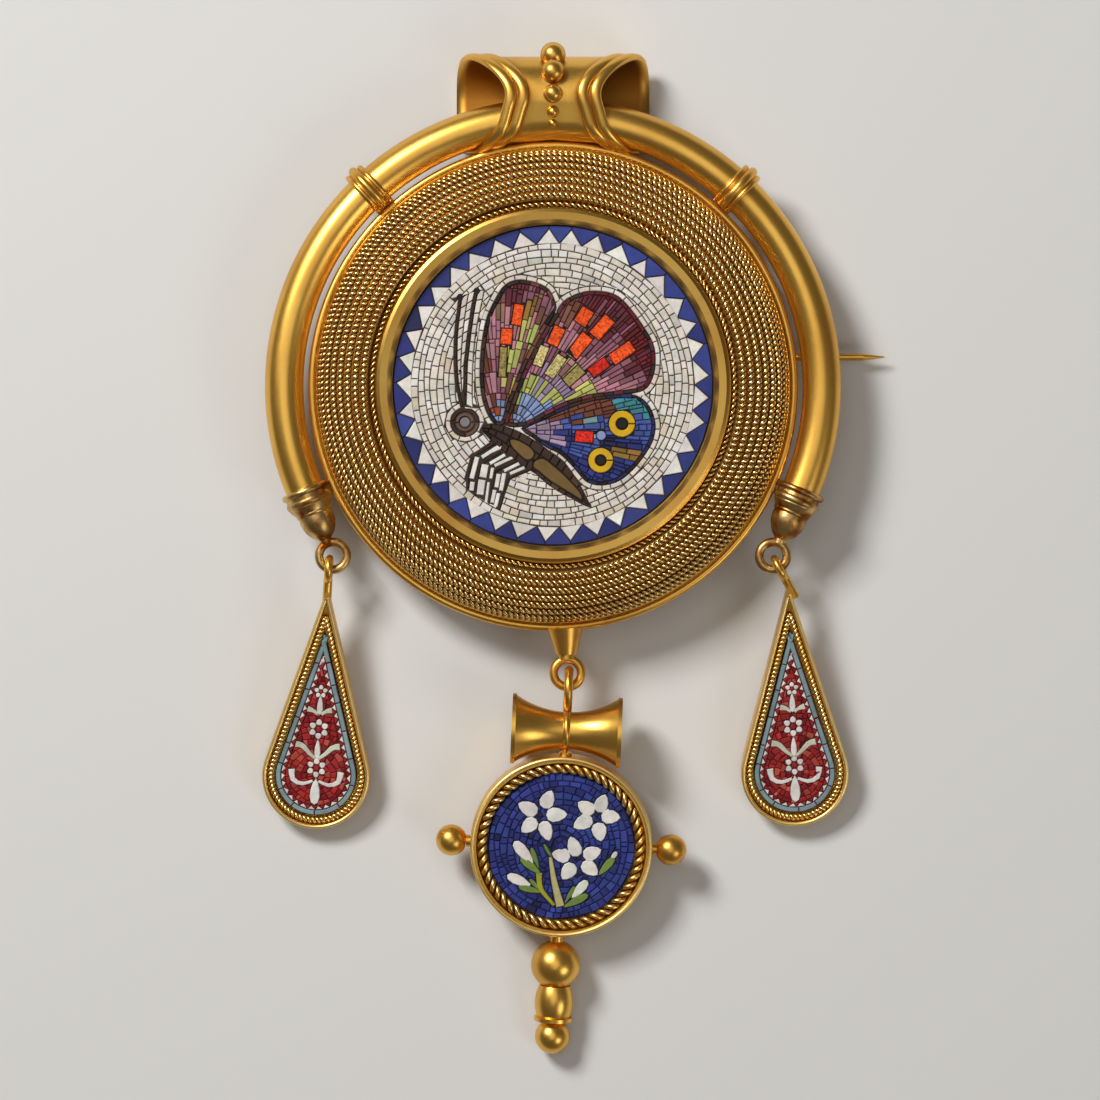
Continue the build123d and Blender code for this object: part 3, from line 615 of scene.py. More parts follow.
def trim(pieces, outline, margin=0.0, inside=False):
    """Pieces cut at a line that runs beside an outline, margin away from it on the side that is kept.

    Each piece is cut straight, along the line at the place that is nearest to its middle.
    """
    side = -1 if inside else 1
    middle = pieces.mean(1)
    _, nearest, way_out = distance_to(middle, outline)
    height = side * ((pieces - nearest[:, None]) * way_out[:, None]).sum(2) - margin
    some = (height > SLIVER).any(1)
    pieces, height = pieces[some], height[some]
    crossed = (height < 0).any(1)
    if not crossed.any():
        return pieces
    fitted = cut_off(pieces[crossed], height[crossed])
    corners = max(fitted.shape[1], pieces.shape[1])
    return np.concatenate([widened(pieces[~crossed], corners), widened(fitted, corners)])


def cut_round(pieces, oblong):
    """Pieces that lie over a convex block cut off along the side of it that leaves the most of each."""
    edge = np.roll(oblong, -1, axis=0) - oblong
    turning = np.sign(flat_cross(edge, np.roll(edge, -1, axis=0)).sum())
    out = unit(-left_of(edge)) * turning
    height = ((pieces[:, None] - oblong[None, :, None]) * out[None, :, None]).sum(3)
    over = (height < -OVERLAP).any(2).all(1)
    if not over.any():
        return pieces
    cuts = [cut_off(pieces[over], height[over, side]) for side in range(len(oblong))]
    corners = max([cut.shape[1] for cut in cuts] + [pieces.shape[1]])
    cuts = np.stack([widened(cut, corners) for cut in cuts])
    size = np.nan_to_num(np.abs([area_of(cut) for cut in cuts]))
    size[(height[over] > 0).sum(2).T == 0] = 0
    best = size.argmax(0)
    fitted = cuts[best, np.arange(len(best))][size.max(0) > 0]
    return np.concatenate([widened(pieces[~over], corners), fitted])


def widened(pieces, corners):
    """Polygons with their last corner repeated, up to a number of corners."""
    extra = np.repeat(pieces[:, -1:], corners - pieces.shape[1], axis=1)
    return np.concatenate([pieces, extra], axis=1)


def cut_runs(count, uneven, rng):
    """Lengths run at the cuts round a number of pieces in a row, each about 1 long."""
    return np.cumsum(np.concatenate([[0], 1 + uneven * rng.uniform(-1, 1, count)]))


def ring_cells(radii, width, rng, sway, uneven):
    """Cells between circles, each ring cut into pieces about width long whose lengths differ.

    The circles sway by a sine of the angle, which is the same for the two rings that meet at one.
    """
    def corner(radius, ring, angle):
        return polar(radius + sway * np.sin(RING_WAVES * angle + RING_SHIFT * ring) * (ring > 0), angle)

    rings = []
    for index, (near, far) in enumerate(zip(radii[:-1], radii[1:])):
        lengths = cut_runs(max(3, int(round(TAU * (near + far) / 2 / width))), uneven, rng)
        cuts = TAU * lengths / lengths[-1] + rng.uniform(0, TAU)
        first, last = cuts[:-1], cuts[1:]
        rings.append(np.stack([
            corner(near, index, first), corner(far, index + 1, first), corner(far, index + 1, last),
            corner(near, index, last)], axis=1))
    return np.concatenate(rings)[:, ::-1]


def strip(path, near, far, length, rng, closed=False, bend=4, uneven=0.25):
    """Pieces in a row between two lines that run beside a path, near and far to its right, about length long."""
    total = length_of(path, closed)
    cuts = cut_runs(max(1, int(round(total / length))), uneven, rng)
    cuts = cuts / cuts[-1] * total
    places = cuts[:-1, None] + np.linspace(0, 1, bend) * np.diff(cuts)[:, None]
    middle, _, right = walk(path, places, closed)
    return np.concatenate([middle + right * near, (middle + right * far)[:, ::-1]], axis=1)


def ladder(left, right, columns, length, rng, uneven=0.3):
    """Pieces between two paths: columns side by side, each cut into pieces about length long."""
    rows = []
    count = max(1, int(round(max(length_of(left), length_of(right)) / length)))
    for column in range(columns):
        cuts = cut_runs(count, uneven, rng)
        cuts /= cuts[-1]
        here = walk(left, cuts * length_of(left))[0]
        there = walk(right, cuts * length_of(right))[0]
        near = here + (there - here) * column / columns
        far = here + (there - here) * (column + 1) / columns
        rows.append(np.stack([near[:-1], far[:-1], far[1:], near[1:]], axis=1))
    return np.concatenate(rows)


def block(middle, size, root):
    """Oblong piece: its middle, its length and width, and the point that its length aims away from."""
    ahead = unit(middle - root)
    shape = np.array([(-1, -1), (1, -1), (1, 1), (-1, 1)]) / 2
    return middle + (shape[:, :, None] * np.stack([ahead, left_of(ahead)]) * size[:, None]).sum(1)


def petals(middles, angles, lengths, widths, corners=10, point=0.25):
    """Leaf shapes: an ellipse whose far end is drawn out to a point, turned to an angle."""
    turn = np.linspace(0, TAU, corners, endpoint=False)
    along = np.cos(turn) * (1 + point * np.maximum(np.cos(turn), 0) ** 3)
    across = np.sin(turn) * (1 - 0.2 * np.cos(turn))
    middles, angles = np.atleast_2d(middles), np.atleast_1d(angles)[:, None]
    lengths, widths = np.atleast_1d(lengths)[:, None] / 2, np.atleast_1d(widths)[:, None] / 2
    ahead, aside = along * lengths, across * widths
    turned = np.stack([ahead * np.cos(angles) - aside * np.sin(angles),
                       ahead * np.sin(angles) + aside * np.cos(angles)], axis=-1)
    return middles[:, None] + turned


def blossom(centre, angles, distance, length, width, point):
    """Petals round a centre at angles in degrees, each pointing away from it."""
    angles = np.radians(angles)
    return petals(np.asarray(centre) + polar(distance, angles), angles, length, width, point=point)


def stroke(points, first, last, samples=7):
    """One long piece along a curve, whose width changes evenly from its start to its end."""
    path = smooth_path(points)
    middle, _, right = walk(path, np.linspace(0, length_of(path), samples))
    half = np.linspace(first, last, samples)[:, None] / 2
    return np.concatenate([middle - right * half, (middle + right * half)[::-1]])[None]


def rods(entries, joint=0.08):
    """Oblong pieces, each between two points of the main drawing, with a width in its units and room for joints."""
    start = chart([entry[0] for entry in entries])
    end = chart([entry[1] for entry in entries])
    width = (np.array([entry[2] for entry in entries])[:, None] * CHART_MM + joint) / 2
    aside = left_of(unit(end - start)) * width
    return np.stack([start - aside, end - aside, end + aside, start + aside], 1)


def fan(outline, root, width, length, band, rng):
    """Rods in lines that run away from a wing's root, inside the wing's edge band.

    The lines divide again each time that they have spread too far. Each rod starts where the last one ends.
    """
    reach = np.linalg.norm(outline - root, axis=1).max()
    near, cells = FAN_START, []
    while near < reach:
        far = near * FAN_GROWTH
        count = int(round(TAU * (near + far) / 2 / width))
        cuts = cut_runs(count, 0.3, rng)
        cuts = cuts / cuts[-1] * TAU + rng.uniform(0, TAU)
        many = int((far - near) / length / 0.7) + 3
        steps = np.cumsum(length * rng.uniform(0.6, 1.4, (count, many)), axis=1)
        starts = np.clip(near + steps - length * rng.uniform(0.6, 1.6, (count, 1)), near, far)
        starts[:, 0] = near
        inner, outer = starts[:, :-1].ravel(), starts[:, 1:].ravel()
        first, last = (np.repeat(angle, many - 1) for angle in (cuts[:-1], cuts[1:]))
        shape = np.stack([polar(inner, first), polar(outer, first), polar(outer, last), polar(inner, last)], axis=1)
        cells.append(shape[outer - inner > SHORTEST_ROD])
        near = far
    return trim(np.concatenate(cells) + root, outline, band, inside=True)


def zigzag(path, count, near, far, edge, rng, uneven=0.12):
    """Teeth along a closed path from near to far on its right, and the pieces between them out to edge."""
    total = length_of(path, True)
    base = (np.arange(count) + uneven * rng.uniform(-1, 1, count)) * total / count
    tip = (np.arange(count) + 0.5 + uneven * rng.uniform(-1, 1, count)) * total / count
    next_base, next_tip = np.roll(base, -1), np.roll(tip, -1)

    def beside(places, offset):
        points, _, right = walk(path, places, True)
        return points + right * offset

    teeth = np.stack([beside(base, near), beside(tip, far), beside(next_base, near)], 1)
    gaps = np.stack([beside(next_base, near), beside(tip, far), beside(tip, edge), beside(next_base, edge),
                     beside(next_tip, edge), beside(next_tip, far)], 1)
    return teeth, gaps


def clear_of(pieces, outlines):
    """Pieces trimmed round each of several outlines."""
    for outline in outlines:
        pieces = trim(pieces, outline)
    return pieces


def mixed(rng, count, names, shares):
    """Random names for a number of pieces."""
    return rng.choice(names, count, p=np.array(shares) / sum(shares))


class Ground:
    """Tesserae of one mosaic, collected in groups of one colour and kind, and the random draws for them."""

    def __init__(self, seed):
        """Starts with no pieces, and with the draws that belong to a seed."""
        self.rng = np.random.default_rng(seed)
        self.groups = []

    def lay(self, pieces, colours, kind=ENAMEL, vary=0.07, least=0.03, sink=0.0, joint=1.0):
        """Adds pieces, with one colour's name or a name for each piece, left out where they are too small.

        The joint round them is a share of the usual one.
        """
        pieces = np.asarray(pieces, float)
        names = np.full(len(pieces), colours) if isinstance(colours, str) else np.asarray(colours)
        area = area_of(pieces)
        pieces = np.where((area < 0)[:, None, None], pieces[:, ::-1], pieces)
        keep = np.abs(area) > least
        pieces, names = pieces[keep], names[keep]
        tint = linear(np.array([PAINT[name] for name in names]).reshape(-1, 3))
        tint = tint * np.exp(self.rng.normal(0, vary, (len(tint), 1)) + self.rng.normal(0, vary / 3, tint.shape))
        self.groups.append((pieces, tint, kind, sink, joint))


def nearest_names(pieces, spots, rng, loose=0.3):
    """Name of the listed colour spot nearest to each piece, found from its middle after a small move."""
    middle = pieces.mean(1) + rng.normal(0, loose, (len(pieces), 2))
    places = chart([spot[:2] for spot in spots])
    names = np.array([spot[2] for spot in spots])
    return names[np.linalg.norm(middle[:, None] - places, axis=2).argmin(1)]


# Meshes


def put_mesh(name, points, faces, attributes=None, smooth=True):
    """New object at the origin from points in millimetres and groups of faces with one number of corners each."""
    mesh = bpy.data.meshes.new(name)
    loops = np.concatenate([group.ravel() for group in faces]).astype(np.int32)
    counts = np.concatenate([np.full(len(group), group.shape[1]) for group in faces])
    starts = np.concatenate([[0], np.cumsum(counts)[:-1]]).astype(np.int32)
    mesh.vertices.add(len(points))
    mesh.vertices.foreach_set("co", (np.asarray(points, float) * MM).astype(np.float32).ravel())
    mesh.loops.add(len(loops))
    mesh.loops.foreach_set("vertex_index", loops)
    mesh.polygons.add(len(counts))
    mesh.polygons.foreach_set("loop_start", starts)
    mesh.polygons.foreach_set("use_smooth", np.full(len(counts), smooth))
    mesh.update(calc_edges=True)
    for label, values in (attributes or {}).items():
        if values.ndim == 2:
            layer = mesh.attributes.new(label, "FLOAT_COLOR", "POINT")
            layer.data.foreach_set("color", np.column_stack([values, np.ones(len(values))]).ravel())
        else:
            layer = mesh.attributes.new(label, "FLOAT", "POINT")
            layer.data.foreach_set("value", values.astype(np.float32))
    mesh.validate()
    piece = bpy.data.objects.new(name, mesh)
    bpy.context.scene.collection.objects.link(piece)
    return piece


def cover(piece, material):
    """Gives a piece one material, by its name."""
    piece.data.materials.clear()
    piece.data.materials.append(bpy.data.materials[material])


def finish_piece(piece, material, replaces=()):
    """Gives a piece its material and its body, and hides the CAD nodes it stands for."""
    cover(piece, material)
    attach(piece, BROOCH)
    if replaces:
        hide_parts(*replaces)


def joined(parts):
    """Points, faces and attributes of several shapes as one, with the corner numbers moved on."""
    points, faces, shade_amounts = [], [], []
    start = 0
    for part_points, part_faces, part_shade_amounts in parts:
        points.append(part_points)
        faces.extend(group + start for group in part_faces)
        shade_amounts.append(part_shade_amounts)
        start += len(part_points)
    return np.concatenate(points), faces, {"Hollow": np.concatenate(shade_amounts)}


def grid_faces(rows, columns, wrap_rows=True):
    """Four-cornered faces of a grid of points whose columns run round, and its rows too unless asked not to."""
    row = np.arange(rows if wrap_rows else rows - 1)[:, None]
    column = np.arange(columns)[None, :]
    next_row, next_column = (row + 1) % rows, (column + 1) % columns
    corners = [row * columns + column, next_row * columns + column, next_row * columns + next_column,
               row * columns + next_column]
    return np.stack(corners, axis=-1).reshape(-1, 4)


def revolved(profile, steps):
    """Closed ring: a closed profile of radius and height, turned round the disc's axis."""
    angle = np.linspace(0, TAU, steps, endpoint=False)[:, None]
    radius, height = np.asarray(profile, float).T
    points = np.stack([radius * np.cos(angle), radius * np.sin(angle), height + 0 * angle], axis=-1)
    return points.reshape(-1, 3), [grid_faces(steps, len(profile))[:, ::-1]]


def swept(line, tangent, side, radius, sides, closed, wide=1.0):
    """Wire: at each point of a line a circle in the plane of side and of tangent cross side, widened along that."""
    turn = np.linspace(0, TAU, sides, endpoint=False)
    other = np.cross(tangent, side)
    ring = np.cos(turn)[None, :, None] * side[:, None] + wide * np.sin(turn)[None, :, None] * other[:, None]
    points = (line[:, None] + radius * ring).reshape(-1, 3)
    faces = [grid_faces(len(line), sides, wrap_rows=closed)[:, ::-1]]
    if not closed:
        faces += [np.arange(sides)[None, :], (len(line) * sides - 1 - np.arange(sides))[None, :]]
    return points, faces


def twisted(line, side, up, wire_r, lay, ropes, closed):
    """Two strands twisted to the right round a line: each is a helix with half the rope's radius.

    The strand's section stands square to the helix, and painted shade (Hollow) grows from its outside to where the
    two meet.
    """
    steps = np.linalg.norm(np.diff(line, axis=0, append=line[:1] if closed else line[-1:]), axis=1)
    run = np.concatenate([[0], np.cumsum(steps)[:-1]])
    total = steps.sum()
    turns = max(1, round(total / lay)) if closed else total / lay
    along = np.cross(side, up)
    parts = []
    for strand in range(2):
        phase = (TAU * turns * run / total + np.pi * strand)[:, None]
        out = np.cos(phase) * side + np.sin(phase) * up
        around = -np.sin(phase) * side + np.cos(phase) * up
        heading = unit(along * total / turns + around * TAU * wire_r / 2)
        points, faces = swept(line + out * wire_r / 2, heading, out, wire_r / 2, ropes.sides, closed)
        axis = np.repeat(line, ropes.sides, axis=0)
        share = np.linalg.norm(points - axis, axis=1) / wire_r
        parts.append((points, faces, np.clip((STRAND_SHADE[0] - share) / STRAND_SHADE[1], 0, 1)))
    return joined(parts)


def ring_rope(radius, height, wire_r, lay, ropes, out=(0, 1)):
    """Twisted rope in a circle round the disc's axis, with painted shade where it turns from its way out of the dome.
    """
    turns = max(1, round(TAU * radius / lay))
    angle = np.linspace(0, TAU, turns * ropes.steps, endpoint=False)[:, None]
    outward = np.concatenate([np.cos(angle), np.sin(angle), 0 * angle], axis=1)
    up = np.zeros_like(outward) + (0, 0, 1)
    line = outward * radius + (0, 0, height)
    points, faces, attributes = twisted(line, outward, -up, wire_r, TAU * radius / turns, ropes, True)
    # Painted shade on the side that turns away from the dome's way out, added to the strands' own
    outside, above = np.hypot(points[:, 0], points[:, 1]) - radius, points[:, 2] - height
    lift = (outside * out[0] + above * out[1]) / wire_r
    return points, faces, np.maximum(attributes["Hollow"], np.clip((ROPE_SHADE[0] - lift) / ROPE_SHADE[1], 0, 1))


def ball(centre, radius, rings=18, around=28):
    """Closed sphere: rings of points between two poles, with painted shade that fades out above its middle."""
    rise = np.linspace(0, np.pi, rings + 1)[1:-1, None]
    angle = np.linspace(0, TAU, around, endpoint=False)
    shell = np.stack([np.sin(rise) * np.cos(angle), np.sin(rise) * np.sin(angle), np.cos(rise) + 0 * angle], -1)
    points = np.concatenate([shell.reshape(-1, 3), [(0, 0, 1), (0, 0, -1)]]) * radius + centre
    last = (rings - 2) * around
    spin = np.arange(around)
    ahead = (spin + 1) % around
    top, foot = len(points) - 2 + 0 * spin, len(points) - 1 + 0 * spin
    faces = [grid_faces(rings - 1, around, wrap_rows=False), np.stack([top, spin, ahead], 1),
             np.stack([foot, last + ahead, last + spin], 1)]
    # Painted shade, strongest from the middle down and gone half a radius above it
    return points, faces, np.clip((0.5 - (points[:, 2] - centre[2]) / radius) / 0.5, 0, 0.9)


# Shader groups and materials


def new_group(name, inputs, outputs):
    """Empty shader group with named sockets, returned with its input and output nodes."""
    group = bpy.data.node_groups.new(name, "ShaderNodeTree")
    for label, kind, default in inputs:
        socket = group.interface.new_socket(name=label, in_out="INPUT", socket_type=kind)
        socket.default_value = default
    for label, kind in outputs:
        group.interface.new_socket(name=label, in_out="OUTPUT", socket_type=kind)
    return group, group.nodes.new("NodeGroupInput"), group.nodes.new("NodeGroupOutput")


def add(nodes, kind, links=None, **values):
    """New node with its settings, and with sockets set by name or number, or linked to another node's socket."""
    tree = nodes.id_data
    node = nodes.new(kind)
    for label, value in values.items():
        setattr(node, label, value)
    for label, value in (links or {}).items():
        socket = node.inputs[label]
        if isinstance(value, bpy.types.NodeSocket):
            tree.links.new(value, socket)
        else:
            socket.default_value = value
    return node


def noise(nodes, vector, scale, detail=3.0, roughness=0.55, distortion=0.0):
    """Noise from 0 to 1."""
    return add(nodes, "ShaderNodeTexNoise", {
        "Vector": vector, "Scale": scale, "Detail": detail, "Roughness": roughness,
        "Distortion": distortion}).outputs["Fac"]


def calc(nodes, operation, first, second=0.0):
    """Result of a sum with one or two numbers."""
    return add(nodes, "ShaderNodeMath", {0: first, 1: second}, operation=operation).outputs[0]


def spread(nodes, value, low, high, new_low=0.0, new_high=1.0):
    """A value stretched from one range to another and kept inside it."""
    return add(nodes, "ShaderNodeMapRange", {
        "Value": value, "From Min": low, "From Max": high, "To Min": new_low,
        "To Max": new_high}).outputs["Result"]


def blend_colours(nodes, share, first, second, blend="MIX"):
    """Two colours mixed by a share."""
    return add(nodes, "ShaderNodeMix", {0: share, 6: first, 7: second}, data_type="RGBA",
               blend_type=blend).outputs[2]


def gold_surface():
    """Shader group: satin gold with painted shade in recesses and darker worn patches, with fine rubbed grain."""
    group, source, result = new_group("Gold surface", [
        ("Bright", "NodeSocketColor", (0.8, 0.5, 0.15, 1)), ("Deep", "NodeSocketColor", (0.4, 0.2, 0.05, 1)),
        ("Dirt", "NodeSocketColor", (0.05, 0.02, 0.01, 1)), ("Hollow", "NodeSocketFloat", 0.0),
        ("Satin", "NodeSocketFloat", 0.3), ("Age", "NodeSocketFloat", 0.4), ("Patches", "NodeSocketFloat", PATCHES),
    ], [("Color", "NodeSocketColor"), ("Roughness", "NodeSocketFloat"), ("Height", "NodeSocketFloat")])
    nodes = group.nodes
    place = add(nodes, "ShaderNodeTexCoord").outputs["Object"]
    patches = spread(nodes, noise(nodes, place, source.outputs["Patches"], 4, 0.5, 0.3), 0.42, 0.74)
    flecks = spread(nodes, noise(nodes, place, FLECKS, 3, 0.5), 0.62, 0.8)
    worn = calc(nodes, "MULTIPLY", calc(nodes, "ADD", patches, calc(nodes, "MULTIPLY", flecks, 0.5)),
                source.outputs["Age"])
    worn = calc(nodes, "MINIMUM", worn, 1.0)
    colour = blend_colours(nodes, worn, source.outputs["Bright"], source.outputs["Deep"])
    # Painted shade: the shade colour mixed in by the piece's Hollow
    colour = blend_colours(nodes, source.outputs["Hollow"], colour, source.outputs["Dirt"])
    grain = noise(nodes, place, GRAIN, 3, 0.6)
    streaks = noise(nodes, add(nodes, "ShaderNodeMapping", {
        "Vector": place, "Scale": (1, 5, 1), "Rotation": (0, 0, 0.7)}).outputs[0], STREAKS, 2, 0.5)
    rough = calc(nodes, "ADD", source.outputs["Satin"], calc(nodes, "MULTIPLY", worn, 0.16))
    rough = calc(nodes, "ADD", rough, spread(nodes, grain, 0.3, 0.7, -0.02, 0.03))
    rough = calc(nodes, "ADD", rough, calc(nodes, "MULTIPLY", source.outputs["Hollow"], 0.3))
    height = calc(nodes, "ADD", grain, calc(nodes, "MULTIPLY", streaks, 0.8))
    group.links.new(colour, result.inputs["Color"])
    group.links.new(rough, result.inputs["Roughness"])
    group.links.new(height, result.inputs["Height"])


def glass_surface():
    """Shader group: enamel rods with cloudy shades and pits, glittering flakes, and rough cement below."""
    group, source, result = new_group("Tessera surface", [
        ("Tint", "NodeSocketColor", (0.8, 0.8, 0.8, 1)), ("Kind", "NodeSocketFloat", 0.0),
    ], [("Color", "NodeSocketColor"), ("Roughness", "NodeSocketFloat"), ("Height", "NodeSocketFloat")])
    nodes = group.nodes
    place = add(nodes, "ShaderNodeTexCoord").outputs["Object"]
    kind = source.outputs["Kind"]
    glitters = calc(nodes, "LESS_THAN", calc(nodes, "ABSOLUTE", calc(nodes, "SUBTRACT", kind, SPARKLE)), 0.5)
    cement = calc(nodes, "LESS_THAN", calc(nodes, "ABSOLUTE", calc(nodes, "SUBTRACT", kind, BED)), 0.5)
    glossy = calc(nodes, "GREATER_THAN", kind, GLASS - 0.5)
    clouds = noise(nodes, place, CLOUDS, 4, 0.6)
    pits = spread(nodes, noise(nodes, place, PITS, 2, 0.5), 0.62, 0.74)
    flakes = add(nodes, "ShaderNodeTexVoronoi", {"Vector": place, "Scale": FLAKES})
    flake = spread(nodes, add(nodes, "ShaderNodeSeparateColor", {"Color": flakes.outputs["Color"]}).outputs[0],
                   0, 1, 0.45, 1.5)
    shade = spread(nodes, clouds, 0.3, 0.7, 0.8, 1.1)
    shade = calc(nodes, "MULTIPLY", shade, calc(nodes, "SUBTRACT", 1.0, calc(nodes, "MULTIPLY", pits, 0.3)))
    sparkle = calc(nodes, "ADD", 1.0, calc(nodes, "MULTIPLY", glitters, calc(nodes, "SUBTRACT", flake, 1.0)))
    shade = calc(nodes, "MULTIPLY", shade, sparkle)
    grey = add(nodes, "ShaderNodeCombineColor", {0: shade, 1: shade, 2: shade}).outputs[0]
    colour = blend_colours(nodes, 1.0, source.outputs["Tint"], grey, "MULTIPLY")
    rough = spread(nodes, clouds, 0.3, 0.7, 0.44, 0.6)
    rough = calc(nodes, "ADD", rough, calc(nodes, "MULTIPLY", cement, 0.4))
    rough = calc(nodes, "SUBTRACT", rough, calc(nodes, "MULTIPLY", glossy, 0.16))
    height = calc(nodes, "ADD", calc(nodes, "MULTIPLY", flake, calc(nodes, "MULTIPLY", glitters, 0.6)), clouds)
    height = calc(nodes, "SUBTRACT", height, calc(nodes, "MULTIPLY", pits, 0.5))
    group.links.new(colour, result.inputs["Color"])
    group.links.new(rough, result.inputs["Roughness"])
    group.links.new(height, result.inputs["Height"])


def new_material(name, group, inputs, attributes, bump, metallic, extra=None):
    """Material with one Principled shader, whose colour, roughness and bump come from a shader group."""
    material = bpy.data.materials.new(name)
    material.use_nodes = True
    nodes = material.node_tree.nodes
    shader = nodes["Principled BSDF"]
    shader.inputs["Metallic"].default_value = metallic
    for label, value in (extra or {}).items():
        shader.inputs[label].default_value = value
    surface = nodes.new("ShaderNodeGroup")
    surface.node_tree = group
    for label, value in inputs.items():
        surface.inputs[label].default_value = value
    links = material.node_tree.links
    for label, (attribute, output) in attributes.items():
        read = add(nodes, "ShaderNodeAttribute", attribute_type="GEOMETRY", attribute_name=attribute)
        links.new(read.outputs[output], surface.inputs[label])
    relief = add(nodes, "ShaderNodeBump", {"Strength": bump, "Distance": RELIEF})
    links.new(surface.outputs["Height"], relief.inputs["Height"])
    links.new(relief.outputs["Normal"], shader.inputs["Normal"])
    links.new(surface.outputs["Color"], shader.inputs["Base Color"])
    links.new(surface.outputs["Roughness"], shader.inputs["Roughness"])


def gold_material(name, bright, deep, satin, age, shade_and_patina=False, bump=0.12, patches=PATCHES):
    """Gold with its own shades, satin and age, and painted shade in its recesses where the piece carries a Hollow
    attribute.
    """
    metal = bpy.context.scene.brooch_metal
    inputs = {"Bright": (*bright, 1), "Deep": (*deep, 1), "Dirt": (*metal.shade_and_patina, 1), "Satin": satin, "Age": age,
              "Patches": patches}
    reads = {"Hollow": ("Hollow", "Fac")} if shade_and_patina else {}
    new_material(name, bpy.data.node_groups["Gold surface"], inputs, reads, bump, 1.0)


# Pieces of the brooch


def border_profile():
    """Quarter ellipse of the dome's section, and rope rows spread evenly along it: middles and ways out."""
    ropes = bpy.context.scene.brooch_ropes
    wire_r = to_mm(ropes.wire_r)
    dome_in = BEZEL_R + SEAT + GROOVE
    dome_out = DISC_R - 2 * CASE_WIRE_R + ROPE_LAP - wire_r
    turn = np.linspace(0, np.pi / 2, 400)
    crest, foot = border_levels(wire_r)
    curve = np.stack([dome_in + (dome_out - dome_in) * np.sin(turn), foot + (crest - foot) * np.cos(turn)], 1)
    total = length_of(curve)
    rows = round(total / to_mm(ropes.pitch))
    middles, _, inward = walk(curve, (np.arange(rows) + 0.5) * total / rows)
    return curve, np.concatenate([middles, -inward], axis=1)


def border_levels(wire_r):
    """Heights of the dome's crest and of its foot, from the border's highest point and the mosaic's foot."""
    return BORDER_TOP - wire_r, MOSAIC_FOOT + FOOT_RISE


def make_border():
    """Sheet of the dome with its two walls, ropes that lie side by side on it, and a thin one inside."""
    ropes = bpy.context.scene.brooch_ropes
    curve, places = border_profile()
    crest, foot = border_levels(to_mm(ropes.wire_r))
    band_r = BEZEL_R + SEAT
    dome_in, dome_out = curve[0, 0], curve[-1, 0]
    wall_r = DISC_R - CASE_WIRE_R - CASE_WALL - SEAT
    ledge = crest - LEDGE_DROP
    corner = np.array([dome_in, foot])
    profile = np.concatenate([
        [(band_r, MOSAIC_FOOT), (band_r, ledge), (dome_in, ledge)],
        curve[::16],
        [(dome_out, foot), (wall_r, foot), (wall_r, MOSAIC_FOOT), (wall_r - SHEET, MOSAIC_FOOT)],
        corner + (curve[::-20] - corner) * INSIDE_SHARES,
        [(dome_in, ledge - SHEET), (band_r + SHEET, ledge - SHEET), (band_r + SHEET, MOSAIC_FOOT)]])
    points, faces = revolved(profile, RING_STEPS)
    # Painted shade on the sheet: strong under the ropes, lighter elsewhere
    reach = np.hypot(points[:, 0], points[:, 1]) - SHADE_SHIFT
    shade_and_patina = np.where((reach > dome_in) & (reach < dome_out), UNDER_ROPE_SHADE, SHEET_SHADE)
    finish_piece(put_mesh("rope_dome", points, faces, {"Hollow": shade_and_patina}), "Rope gold",
                 replaces=("rope_border",))
    half = (len(places) + 1) // 2
    for label, rows in (("border_ropes_inner", places[:half]), ("border_ropes_outer", places[half:])):
        parts = [ring_rope(radius, height, to_mm(ropes.wire_r), to_mm(ropes.lay), ropes, out)
                 for radius, height, *out in rows]
        finish_piece(put_mesh(label, *joined(parts)), "Rope gold")
    thin_r = to_mm(ropes.inner_r)
    thin = ring_rope(band_r + thin_r, ledge, thin_r, to_mm(ropes.inner_lay), ropes)
    finish_piece(put_mesh("thin_rope", *joined([thin])), "Rope gold")


def bail_section(count):
    """Section of the bail and its outward normals: the hull of the round at the tube and the larger one behind."""
    back, front = np.array(bail_middle()), np.array(tube_middle())
    angle = np.linspace(0, TAU, 2000, endpoint=False)
    normal = np.stack([np.sin(angle), np.cos(angle)], 1)
    behind = normal @ back + BAIL_R > normal @ front + NEAR_R
    hull = np.where(behind[:, None], back + normal * BAIL_R, front + normal * NEAR_R)
    places = np.linspace(0, length_of(hull, True), count, endpoint=False)
    middle, ahead, _ = walk(hull, places, closed=True, reach=0.05)
    return middle, left_of(ahead)


def tube_middle():
    """Middle of the crescent tube above the disc, as y and z."""
    low, high = node_box("crescent_tube")
    return high[0] - TUBE_R, (low[2] + high[2]) / 2


def bail_middle():
    """Middle of the bail's larger round, as y and z."""
    return tube_middle()[0] + BAIL_RISE, BAIL_R + RIM_H


